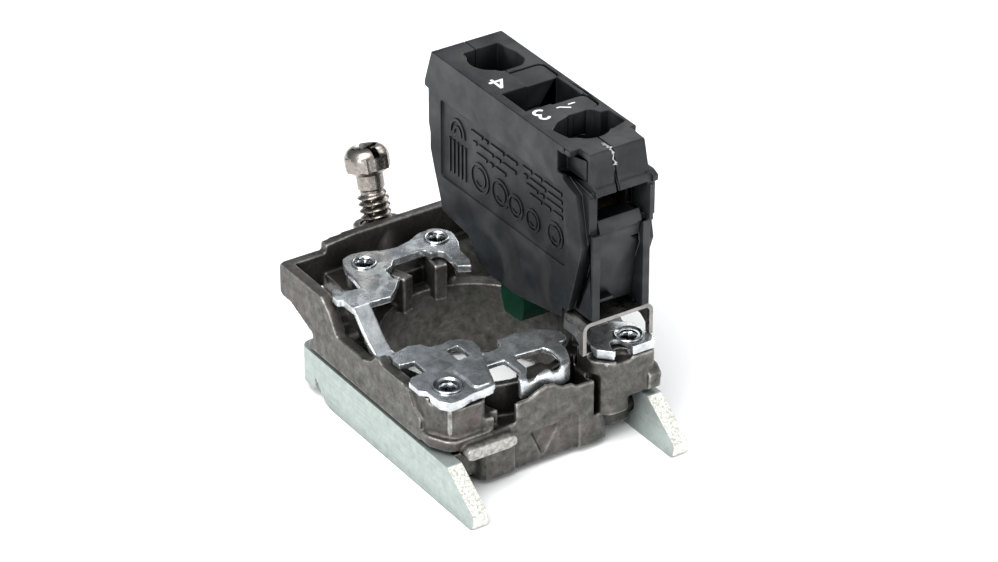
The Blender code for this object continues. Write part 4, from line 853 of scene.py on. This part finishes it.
def mat_galvanised():
    m, nt, b, v = new_material("galvanised_sheet")
    vor = nt.nodes.new("ShaderNodeTexVoronoi")
    vor.inputs["Scale"].default_value = 1.7
    nt.links.new(v, vor.inputs["Vector"])
    cells = nt.nodes.new("ShaderNodeSeparateColor")
    nt.links.new(vor.outputs["Color"], cells.inputs["Color"])
    mid = tex_noise(nt, v, 0.8, 5.0, 0.65, 0.5)
    fine = tex_noise(nt, v, 9.0, 3.0, 0.6)
    col = ramp(nt, mid, [(0.3, (0.345, 0.395, 0.375)), (0.7, (0.455, 0.505, 0.485))])
    col = mix(nt, 0.10, col, ramp(nt, cells.outputs["Red"], [(0.0, (0.35, 0.35, 0.35)), (1.0, (0.65, 0.65, 0.65))]), "OVERLAY")
    stretch = nt.nodes.new("ShaderNodeMapping")
    stretch.inputs["Scale"].default_value = (0.6, 0.12, 3.0)
    nt.links.new(v, stretch.inputs["Vector"])
    streak = tex_noise(nt, stretch.outputs["Vector"], 1.6, 4.0, 0.6)
    col = mix(nt, 0.35, col, ramp(nt, streak, [(0.34, (0.62, 0.64, 0.64)), (0.5, (1.0, 1.0, 1.0))]), "MULTIPLY")
    scuff = ramp(nt, tex_noise(nt, v, 2.4, 4.0, 0.75), [(0.28, (0.30, 0.31, 0.29)), (0.36, (1.0, 1.0, 1.0))])
    col = mix(nt, 0.45, col, scuff, "MULTIPLY")
    # painted shade: ambient occlusion darkens the sheet where other parts close it in
    col = mix(nt, 0.7, col, painted_occlusion_shade(nt, 2.5, 0.2, 0.25), "MULTIPLY")
    nt.links.new(col, b.inputs["Base Color"])
    b.inputs["Metallic"].default_value = 0.75
    geo = nt.nodes.new("ShaderNodeNewGeometry")
    sep = nt.nodes.new("ShaderNodeSeparateXYZ")
    nt.links.new(geo.outputs["True Normal"], sep.inputs["Vector"])
    flip = nt.nodes.new("ShaderNodeMath")
    flip.operation = "MULTIPLY"
    flip.inputs[1].default_value = -1.0
    nt.links.new(sep.outputs["Y"], flip.inputs[0])
    tip = ramp(nt, flip.outputs["Value"], [(0.42, (0.0, 0.0, 0.0)), (0.55, (1.0, 1.0, 1.0))])
    knurl = tex_noise(nt, v, 3.2, 3.0, 0.7)
    sheared = ramp(nt, knurl, [(0.38, (0.42, 0.42, 0.38)), (0.5, (0.72, 0.72, 0.66)), (0.66, (0.86, 0.86, 0.80))])
    col = mix(nt, tip, col, sheared)
    nt.links.new(col, b.inputs["Base Color"])
    nt.links.new(ramp(nt, fine, [(0.3, 0.62), (0.7, 0.44)]), b.inputs["Roughness"])
    bump(nt, b, mix(nt, tip, fine, knurl), 0.25, 0.00004)
    return m


def mat_plastic(name, lo, hi, rough=(0.52, 0.4), grain=0.2, scuffed=0.0):
    m, nt, b, v = new_material(name)
    mid = tex_noise(nt, v, 0.45, 4.0, 0.6, 0.3)
    fine = tex_noise(nt, v, 12.0, 3.0, 0.6)
    col = ramp(nt, mid, [(0.35, lo), (0.68, hi)])
    if scuffed:
        cloud = ramp(nt, tex_noise(nt, v, 0.16, 3.0, 0.5, 0.8), [(0.46, (0.0, 0.0, 0.0)), (0.66, (0.65, 0.65, 0.65))])
        col = mix(nt, cloud, col, (scuffed, scuffed * 1.06, scuffed * 1.12))
        rub = ramp(nt, tex_noise(nt, v, 3.5, 6.0, 0.8), [(0.62, (0.0, 0.0, 0.0)), (0.72, (0.6, 0.6, 0.6))])
        col = mix(nt, rub, col, (scuffed * 1.6, scuffed * 1.65, scuffed * 1.7))
    # painted shade: ambient occlusion turns the moulding's wells and recesses near black
    col = mix(nt, 0.95, col, painted_occlusion_shade(nt, 4.5, 0.34, 0.03), "MULTIPLY")
    nt.links.new(col, b.inputs["Base Color"])
    nt.links.new(ramp(nt, mid, [(0.3, rough[0]), (0.7, rough[1])]), b.inputs["Roughness"])
    b.inputs["Specular IOR Level"].default_value = 0.30
    bump(nt, b, fine, grain, 0.00003)
    return m


def mat_turned(name, tint, r0, r1):
    m, nt, b, v = new_material(name)
    fine = tex_noise(nt, v, 3.0, 5.0, 0.7)
    dark = tuple(0.6 * c for c in tint)
    col = ramp(nt, fine, [(0.32, dark), (0.6, tint)])
    # painted shade: ambient occlusion darkens the turned metal in threads and corners
    nt.links.new(mix(nt, 0.9, col, painted_occlusion_shade(nt, 2.2, 0.30, 0.06), "MULTIPLY"), b.inputs["Base Color"])
    b.inputs["Metallic"].default_value = 1.0
    nt.links.new(ramp(nt, fine, [(0.35, r1), (0.65, r0)]), b.inputs["Roughness"])
    bump(nt, b, fine, 0.3, 0.00002)
    return m


MAT = {
    "zinc_casting": mat_casting(),
    "zinc_plated_steel": mat_plated("bright_zinc", (0.72, 0.75, 0.76), 0.17, 0.36, 0.00004, metal=0.9),
    "galvanised_steel": mat_galvanised(),
    "screw_steel": mat_turned("screw_steel_turned", (0.34, 0.31, 0.28), 0.20, 0.38),
    "black_plastic": mat_plastic("charcoal_moulding", (0.0055, 0.0066, 0.0078), (0.0105, 0.0125, 0.0145), (0.48, 0.36), 0.25, 0.034),
    "flash_plastic": mat_plastic("frayed_moulding", (0.16, 0.16, 0.155), (0.42, 0.42, 0.41), (0.6, 0.5), 0.3),
    # the eyelets take a deep painted shade down their funnels
    "eyelet_zinc": mat_plated("eyelet_zinc", (0.70, 0.73, 0.75), 0.14, 0.28, 0.00003, (1.5, 0.45, 0.03), (0.86, 0.88, 0.89)),
    "clip_steel": mat_plated("clip_steel", (0.33, 0.315, 0.30), 0.24, 0.40, 0.00003, (1.8, 0.3, 0.15)),
    "green_plastic": mat_plastic("green_moulding", (0.0018, 0.022, 0.012), (0.0035, 0.038, 0.020), (0.42, 0.3), 0.1),
    "brass": mat_turned("contact_brass", (0.80, 0.60, 0.30), 0.25, 0.4),
    "silver": mat_turned("contact_silver", (0.90, 0.90, 0.88), 0.18, 0.3),
    "spring_steel": mat_turned("spring_wire", (0.60, 0.60, 0.60), 0.22, 0.35),
    "marking": mat_plastic("white_marking", (0.70, 0.70, 0.69), (0.82, 0.82, 0.80), (0.6, 0.5), 0.05),
}


# ----------------------------------------------------------------- assembling
def rounded(ob, voxel, smooth=2, factor=0.5, thin=1.0):
    """Blend every edge of a solid the way casting or pressing does."""
    m = ob.modifiers.new("remesh", "REMESH")
    m.mode = "VOXEL"
    m.voxel_size = voxel
    m.adaptivity = 0.0
    s = ob.modifiers.new("smooth", "SMOOTH")
    s.factor = factor
    s.iterations = smooth
    if thin < 1.0:
        d = ob.modifiers.new("thin", "DECIMATE")
        d.ratio = thin
    deps = bpy.context.evaluated_depsgraph_get()
    deps.update()
    me = bpy.data.meshes.new_from_object(ob.evaluated_get(deps))
    ob.modifiers.clear()
    old = ob.data
    ob.data = me
    bpy.data.meshes.remove(old)
    return ob


def put(ob, slot, body, replaced=None, smooth=True, angle=None):
    """Scale to metres, give the material, ride on the body and stand for a node."""
    ob.data.transform(Matrix.Scale(MM, 4))
    ob.data.materials.clear()
    ob.data.materials.append(MAT[slot])
    if smooth:
        ob.data.shade_smooth()
    if angle:
        ob.data.set_sharp_from_angle(angle=math.radians(angle))
    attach(ob, body)
    if replaced:
        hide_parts(replaced)
    return ob


def dress(node, slot, bevel=0.0, segments=2, angle=35):
    ob = frame["nodes"][node]
    for i in range(len(ob.material_slots)):
        ob.material_slots[i].material = MAT[slot]
    if bevel:
        b = ob.modifiers.new("edge", "BEVEL")
        b.width = bevel * MM
        b.segments = segments
        b.limit_method = "ANGLE"
        b.angle_limit = math.radians(angle)
        b.use_clamp_overlap = False
        b.harden_normals = True
    return ob


def stroke(name, pts, w, lo, hi, axis="z", closed=False):
    """Flat band of width w along a polyline, as a thin solid."""
    n = len(pts)
    left, right = [], []
    for i, p in enumerate(pts):
        a = pts[(i - 1) % n] if (i > 0 or closed) else p
        c = pts[(i + 1) % n] if (i < n - 1 or closed) else p
        d1 = Vector((p[0] - a[0], p[1] - a[1]))
        d2 = Vector((c[0] - p[0], c[1] - p[1]))
        d1 = d1.normalized() if d1.length > 1e-9 else d2.normalized()
        d2 = d2.normalized() if d2.length > 1e-9 else d1
        t = (d1 + d2).normalized()
        k = 0.5 * w / max(0.5, t.dot(d2))
        left.append((p[0] - t.y * k, p[1] + t.x * k))
        right.append((p[0] + t.y * k, p[1] - t.x * k))
    if closed:
        outer = prism(name, [(q[0], q[1]) for q in right], lo, hi, axis)
        inner = prism("i", [(q[0], q[1]) for q in left], lo - 1, hi + 1, axis)
        big, small = (outer, inner) if abs(area_of(right)) > abs(area_of(left)) else (
            prism(name, left, lo, hi, axis), prism("i", right, lo - 1, hi + 1, axis))
        if big is not outer:
            bpy.data.objects.remove(outer)
            bpy.data.objects.remove(inner)
        return cut(big, small)
    return prism(name, left + right[::-1], lo, hi, axis)


def area_of(pts):
    return 0.5 * sum(pts[i - 1][0] * pts[i][1] - pts[i][0] * pts[i - 1][1] for i in range(len(pts)))


def arc(cx, cy, rx, ry, a0, a1, n):
    return [(cx + rx * math.cos(math.radians(a0 + (a1 - a0) * i / n)),
             cy + ry * math.sin(math.radians(a0 + (a1 - a0) * i / n))) for i in range(n + 1)]


def terminal_marks():
    """Terminal numbers 3 and 4 and a make-contact symbol, read from the rear."""
    z0, z1 = BLOCK_TOP - 0.02, BLOCK_TOP + 0.03

    def at(cx, cy, h, pts):
        return [(cx - (u - 0.3) * h, cy - (v - 0.5) * h) for u, v in pts]
    w = 0.36
    three = stroke("mark_3", at(7.2, -3.35, 2.35, arc(0.28, 0.76, 0.24, 0.21, 160, -70, 8)[:-1]
                                + arc(0.28, 0.27, 0.28, 0.25, 70, -160, 9)), w, z0, z1)
    four = stroke("mark_4", at(7.25, 5.85, 2.35, [(0.70, 0.28), (-0.02, 0.28), (0.42, 1.0)]), w, z0, z1)
    add(four, stroke("s", at(7.25, 5.85, 2.35, [(0.42, 1.02), (0.42, 0.0)]), w, z0, z1))
    zt = BLOCK_TOP - 0.15
    sym = stroke("mark_contact", [(9.3, -2.7), (10.15, -2.7)], 0.22, zt - 0.02, zt + 0.03)
    add(sym, stroke("s", [(10.15, -2.7), (11.25, -3.5)], 0.22, zt - 0.02, zt + 0.03))
    bar = stroke("mark_bar", [(11.35, -2.7), (12.3, -2.7)], 0.22, zt - 0.02, zt + 0.03)
    return [three, four, sym, bar]


def label_marks():
    """Plain ribs, dashes and rings raised in the recess on the left face."""
    x0, x1 = BLOCK_X0 + 0.12, BLOCK_X0 + 0.36
    out = []
    for y, z, r in ((6.7, 25.7, 1.85), (2.3, 25.7, 1.75), (-1.0, 25.5, 1.45), (-4.6, 25.4, 1.35), (-9.3, 25.7, 1.55)):
        out.append(stroke("ring", arc(y, z, r, r, 0, 345, 23), 0.26, x0, x1, "x", closed=True))
        out.append(stroke("ring", arc(y, z, r * 0.62, r * 0.62, 40, 320, 14), 0.22, x0, x1, "x"))
    for y in (13.3, 12.45, 11.6, 10.75, 9.9):
        out.append(stroke("rib", [(y, 23.7), (y, 28.3)], 0.3, x0, x1, "x"))
    out.append(stroke("rib", arc(11.6, 29.3, 1.5, 2.0, 0, 180, 12), 0.32, x0, x1, "x"))
    out.append(stroke("rib", arc(11.6, 29.3, 0.8, 1.1, 0, 180, 10), 0.28, x0, x1, "x"))
    for z, spans in ((31.3, ((8.6, 6.2), (5.7, 5.0), (4.4, 1.6), (1.1, -1.2))), (30.0, ((8.2, 7.4), (6.9, 3.9), (3.4, 2.3), (1.8, -1.0))),
                     (28.7, ((7.4, 5.2), (4.7, 3.9), (3.4, 1.2))), (31.6, ((-2.4, -4.3), (-4.8, -6.4), (-6.9, -10.6))),
                     (30.6, ((-2.6, -3.4), (-3.9, -7.2), (-7.7, -10.7))), (29.6, ((-3.2, -5.6), (-6.1, -6.9), (-7.4, -10.7))),
                     (28.6, ((-4.0, -6.4), (-6.9, -8.3), (-8.8, -10.8)))):
        for a, c in spans:
            out.append(stroke("dash", [(a, z), (c, z)], 0.42, x0, x1, "x"))
    first = out[0]
    bm = bmesh.new()
    for o in out:
        bm.from_mesh(o.data)
    for o in out[1:]:
        bpy.data.objects.remove(o)
    bm.to_mesh(first.data)
    bm.free()
    first.name = "label_marks"
    return first


cad_collar, cad_block = build_collar, build_block


def build_collar():
    # clearance for the visible thread, which stands a little fuller than the solid
    return cut(cad_collar(), disc("clear", 2.08, -6.6, 2.0, 32, matrix=screw_frame()))


def build_block():
    body = cad_block()
    cut(body,
        # straight sloping front of the nose, and no frame round the mouth below it
        prism("face", [(-18.6, 33.9), (-15.72, 33.9), (-15.9, 33.3), (-15.25, 33.0), (-15.25, 28.3), (-18.6, 28.3)],
              5.6, 13.58, "x"),
        prism("face_up", [(-18.6, 38.9), (-14.2, 38.9), (-14.4, 38.25), (-15.9, 33.3), (-15.9, 33.12), (-18.6, 33.12)],
              6.2, 14.13, "x"),
        box("wide_mouth", 7.06, 13.6, -18.0, -12.6, 29.15, 33.3),
        box("parting", 9.3, 9.5, -17.0, -15.05, 33.2, 36.0))
    add(body, prism("foot_tab", [(7.4, -14.95), (9.7, -14.95), (9.7, -13.2), (7.4, -13.2)], 18.6, 19.0))
    return body


def build_field():
    """Hollow web across the sunk field under the wire entry, with its bevelled top strip."""
    front = [(-15.0, 29.72), (-15.08, 29.74), (-15.16, 29.66), (-15.68, 28.42), (-15.7, 28.3), (-15.64, 28.18)]
    for i in range(15):
        t = i / 14
        front.append((-15.45 + 1.78 * t ** 0.85, 28.0 - 10.45 * t))
    back = [(y + 0.35, min(z, 29.5)) for y, z in reversed(front[2:])]
    return prism("block_field_web", front + back, 7.12, 12.94, "x")


def build_fine_screw(seg=48, per=8):
    """Clamp screw with a full thread form and a dished combination head."""
    low = threaded("clamp_screw_turned", 1.22, 1.62, SCREW_PITCH, -8.3, -2.2, 24, 4,
                   ([(1.0, -12.85), (1.0, -8.85), (1.22, -8.6)], [(1.3, -2.0), (1.3, -1.6)]))
    s = threaded("upper", 1.42, 1.96, 0.85, -2.6, 4.2, seg, per,
                 ([(1.2, -3.0)], [(1.68, 4.5), (1.68, 7.0)]))
    add(low, s)
    head = lathe("head", [(0, 6.2), (1.68, 6.2), (2.2, 6.55), (2.76, 7.0), (2.8, 8.3), (2.62, 8.9), (2.3, 9.35), (1.9, 9.62),
                          (1.3, 9.72), (0, 9.74)], 56)
    flats = prism("hexa", [(2.95 * math.cos(math.radians(a)), 2.95 * math.sin(math.radians(a)))
                           for a in range(0, 360, 60)], 6.9, 8.75)
    add(low, add(head, flats))
    cut(low, lathe("dish", [(0, 9.35), (1.25, 9.5), (1.7, 9.85), (0, 9.9)], 40))
    cut(low, box("sl1", -0.42, 0.42, -3.2, 3.2, 8.55, 10.2))
    cut(low, box("sl2", -1.75, 1.75, -0.42, 0.42, 7.7, 10.2))
    low.data.transform(screw_frame())
    return low


def build_eyelet(name, seg=44):
    """Rolled eyelet: thin bright rim round a funnel that runs down into the dark."""
    x, y, z, zb = RIVETS[name]
    r = 1.85 if "front" in name else 1.55
    k = r - 1.55
    p = [(1.12, zb - 1.0), (1.12, z + 0.03), (r - 0.04, z + 0.03), (r, z + 0.11), (r - 0.04, z + 0.2), (r - 0.13, z + 0.25),
         (r - 0.24, z + 0.22), (r - 0.34, z + 0.12), (1.14 + 0.3 * k, z - 0.08), (1.02, z - 0.4), (0.97, z - 0.9), (0.94, zb - 1.0)]
    return lathe(name, p, seg, at=(x, y, 0))


def soften(ob, y_max, rounds=14):
    """Round the sheet over into a wire-like section forward of y_max."""
    bm = bmesh.new()
    bm.from_mesh(ob.data)
    for i in range(rounds):
        vs = [v for v in bm.verts if v.co.y < y_max]
        bmesh.ops.smooth_vert(bm, verts=vs, factor=0.5, use_axis_x=True, use_axis_y=True, use_axis_z=True)
    bm.to_mesh(ob.data)
    bm.free()
    return ob


def build_flash():
    """Thin uneven rib of moulding flash over the parting line of the nose."""
    stops = ((-12.7, 38.25), (-13.7, 38.25), (-14.4, 38.22), (-14.64, 37.45), (-14.93, 36.55), (-15.0, 36.3))
    path = []
    for p, q in zip(stops, stops[1:]):
        path += [(p[0] + (q[0] - p[0]) * k / 6, p[1] + (q[1] - p[1]) * k / 6) for k in range(6)]
    path.append(stops[-1])
    bm = bmesh.new()
    rings = []
    for i, (y, z) in enumerate(path):
        k = noise.noise(Vector((i * 0.83, 3.1, 0.4)))
        end = min(1.0, 0.25 + 0.25 * min(i, len(path) - 1 - i))
        r = end * max(0.035, 0.12 + 0.26 * k)
        cx = 9.3 + 0.34 * noise.noise(Vector((i * 0.55, 7.7, 1.2))) + 0.012 * i
        ring = []
        for j in range(8):
            a = 2 * math.pi * j / 8
            nrm = (0.0, 1.0) if i < 11 else (-0.93, 0.36)
            ring.append(bm.verts.new((cx + r * 1.5 * math.cos(a), y + r * math.sin(a) * nrm[0], z + r * math.sin(a) * nrm[1])))
        rings.append(ring)
    for a, c in zip(rings, rings[1:]):
        for j in range(8):
            bm.faces.new((a[j], a[(j + 1) % 8], c[(j + 1) % 8], c[j]))
    bm.faces.new(rings[0][::-1])
    bm.faces.new(rings[-1])
    bmesh.ops.recalc_face_normals(bm, faces=bm.faces)
    me = bpy.data.meshes.new("flash")
    bm.to_mesh(me)
    bm.free()
    ob = bpy.data.objects.new("moulding_flash", me)
    bpy.context.scene.collection.objects.link(ob)
    s = ob.modifiers.new("round", "SUBSURF")
    s.levels = s.render_levels = 1
    return ob


def edged(ob, width, segments=2, angle=35):
    b = ob.modifiers.new("edge", "BEVEL")
    b.width = width * MM
    b.segments = segments
    b.limit_method = "ANGLE"
    b.angle_limit = math.radians(angle)
    b.use_clamp_overlap = False
    b.harden_normals = True
    return ob


def main():
    collar = rounded(build_collar(), 0.18, 1)
    collar.name = "fixing_collar_casting"
    put(collar, "zinc_casting", "collar", "collar_casting")
    plate = rounded(build_plate(), 0.10, 2)
    plate.name = "retaining_plate_sheet"
    put(plate, "zinc_plated_steel", "collar", "retaining_plate")
    catch = rounded(build_catch(), 0.10, 2)
    catch.name = "catch_plate_sheet"
    put(catch, "zinc_plated_steel", "collar", "catch_plate")
    lever = soften(rounded(build_lever(), 0.1, 2), -10.4, 20)
    lever.name = "locking_lever_sheet"
    put(lever, "zinc_plated_steel", "lever", "locking_lever")
    for n in RIVETS:
        r = build_eyelet(n)
        r.name = n + "_eyelet"
        put(r, "eyelet_zinc", "collar", n, angle=60)
    dress("clamp_yoke", "galvanised_steel", 0.15)
    s = build_fine_screw()
    put(s, "screw_steel", "screw", "clamp_screw", angle=40)
    dress("screw_end_washer", "screw_steel")
    dress("block_clip", "clip_steel", 0.14, 3)
    housing, cover = split_block()
    housing.name = "block_housing_moulding"
    cover.name = "block_cover_moulding"
    put(edged(housing, 0.12), "black_plastic", "collar", "block_housing", angle=30)
    put(edged(cover, 0.12), "black_plastic", "collar", "block_cover", angle=30)
    for mark in terminal_marks():
        put(mark, "marking", "collar", smooth=False)
    put(label_marks(), "black_plastic", "collar", smooth=False)
    put(build_field(), "black_plastic", "collar", angle=40)
    put(build_flash(), "flash_plastic", "collar")
    dress("plunger", "green_plastic", 0.12)
    for n in ("contact_bridge", "fixed_contact_front", "fixed_contact_rear"):
        dress(n, "brass", 0.05)
    for n in ("moving_tip_front", "moving_tip_rear", "fixed_tip_front", "fixed_tip_rear"):
        dress(n, "silver", 0.05)
    # springs standing on the plunger, each with a mesh of its own
    for n, r, wire, z0, z1, turns, left in (("return_spring", 1.3, 0.3, 24.66, 31.5, 6.0, 0.365),
                                            ("bridge_spring", 0.75, 0.25, 20.25, 23.14, 4.5, 0.40)):
        c = coil(n + "_wire", r, wire, z0, z1, turns, 24, 8, (10.0, PLUNGER_Y, 0))
        put(c, "spring_steel", "plunger", n)
        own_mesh(c)
    for n in ("terminal_screw_front", "terminal_screw_rear", "clamp_washer_front", "clamp_washer_rear"):
        dress(n, "screw_steel", 0.05)


main()


# -------------------------------------------------------------------- studio
def studio():
    z = frame_floor()
    bm = bmesh.new()
    n, half = 8, 0.9
    grid = [[bm.verts.new((-half + 2 * half * i / n, -half + 2 * half * j / n, z)) for i in range(n + 1)]
            for j in range(n + 1)]
    for j in range(n):
        for i in range(n):
            bm.faces.new((grid[j][i], grid[j][i + 1], grid[j + 1][i + 1], grid[j + 1][i]))
    me = bpy.data.meshes.new("floor")
    bm.to_mesh(me)
    bm.free()
    floor = bpy.data.objects.new("floor", me)
    bpy.context.scene.collection.objects.link(floor)
    m, nt, b, v = new_material("studio_floor")
    nt.links.new(ramp(nt, tex_noise(nt, v, 0.02, 2.0), [(0.3, (0.86, 0.86, 0.86)), (0.7, (0.88, 0.88, 0.88))]),
                 b.inputs["Base Color"])
    b.inputs["Roughness"].default_value = 0.9
    b.inputs["Specular IOR Level"].default_value = 0.1
    me.materials.append(m)

    def area(name, loc, target, size, power, size_y=None, colour=(1, 1, 1)):
        l = bpy.data.lights.new(name, "AREA")
        l.energy = power
        l.color = colour
        l.shape = "RECTANGLE"
        l.size = size
        l.size_y = size_y or size
        o = bpy.data.objects.new(name, l)
        o.location = loc
        o.rotation_euler = (Vector(target) - Vector(loc)).to_track_quat("-Z", "Y").to_euler()
        bpy.context.scene.collection.objects.link(o)

    area("top_soft", (-0.30, -0.10, 0.70), (0, 0, 0.01), 0.6, 6.5)
    area("key_left", (-0.65, -0.30, 0.36), (0, 0, 0.015), 0.40, 3.6)
    area("fill_front", (0.25, -0.75, 0.22), (0, 0, 0.015), 0.40, 1.5)
    area("side_right", (0.70, 0.05, 0.45), (0, 0, 0.02), 0.35, 1.4)
    area("rim_back_right", (0.50, 0.40, 0.42), (0, 0, 0.02), 0.30, 1.3)
    w = bpy.data.worlds.new("studio")
    w.use_nodes = True
    nt = w.node_tree
    bg = nt.nodes["Background"]
    tc = nt.nodes.new("ShaderNodeTexCoord")
    dot = nt.nodes.new("ShaderNodeVectorMath")
    dot.operation = "DOT_PRODUCT"
    dot.inputs[1].default_value = (-0.42, -0.64, 0.64)
    nt.links.new(tc.outputs["Generated"], dot.inputs[0])
    half = nt.nodes.new("ShaderNodeMath")
    half.operation = "MULTIPLY_ADD"
    half.inputs[1].default_value = 0.5
    half.inputs[2].default_value = 0.5
    nt.links.new(dot.outputs["Value"], half.inputs[0])
    r = nt.nodes.new("ShaderNodeValToRGB")
    els = r.color_ramp.elements
    els[0].position, els[0].color = 0.0, (0.20, 0.215, 0.23, 1)
    els[1].position, els[1].color = 1.0, (0.95, 0.96, 0.98, 1)
    for p, c in ((0.30, (0.165, 0.18, 0.195)), (0.48, (0.25, 0.27, 0.29)), (0.66, (0.43, 0.45, 0.47)), (0.80, (0.70, 0.71, 0.72))):
        e = els.new(p)
        e.color = (*c, 1)
    nt.links.new(half.outputs["Value"], r.inputs["Fac"])
    nt.links.new(r.outputs["Color"], bg.inputs["Color"])
    bg.inputs["Strength"].default_value = 1.0
    bpy.context.scene.world = w
    bpy.context.scene.view_settings.view_transform = "Standard"
    bpy.context.scene.view_settings.look = "None"


def frame_floor():
    lo = min(v[2] for v in CAD_BOX) if not isinstance(CAD_BOX[0], (int, float)) else CAD_BOX[2]
    return lo


studio()
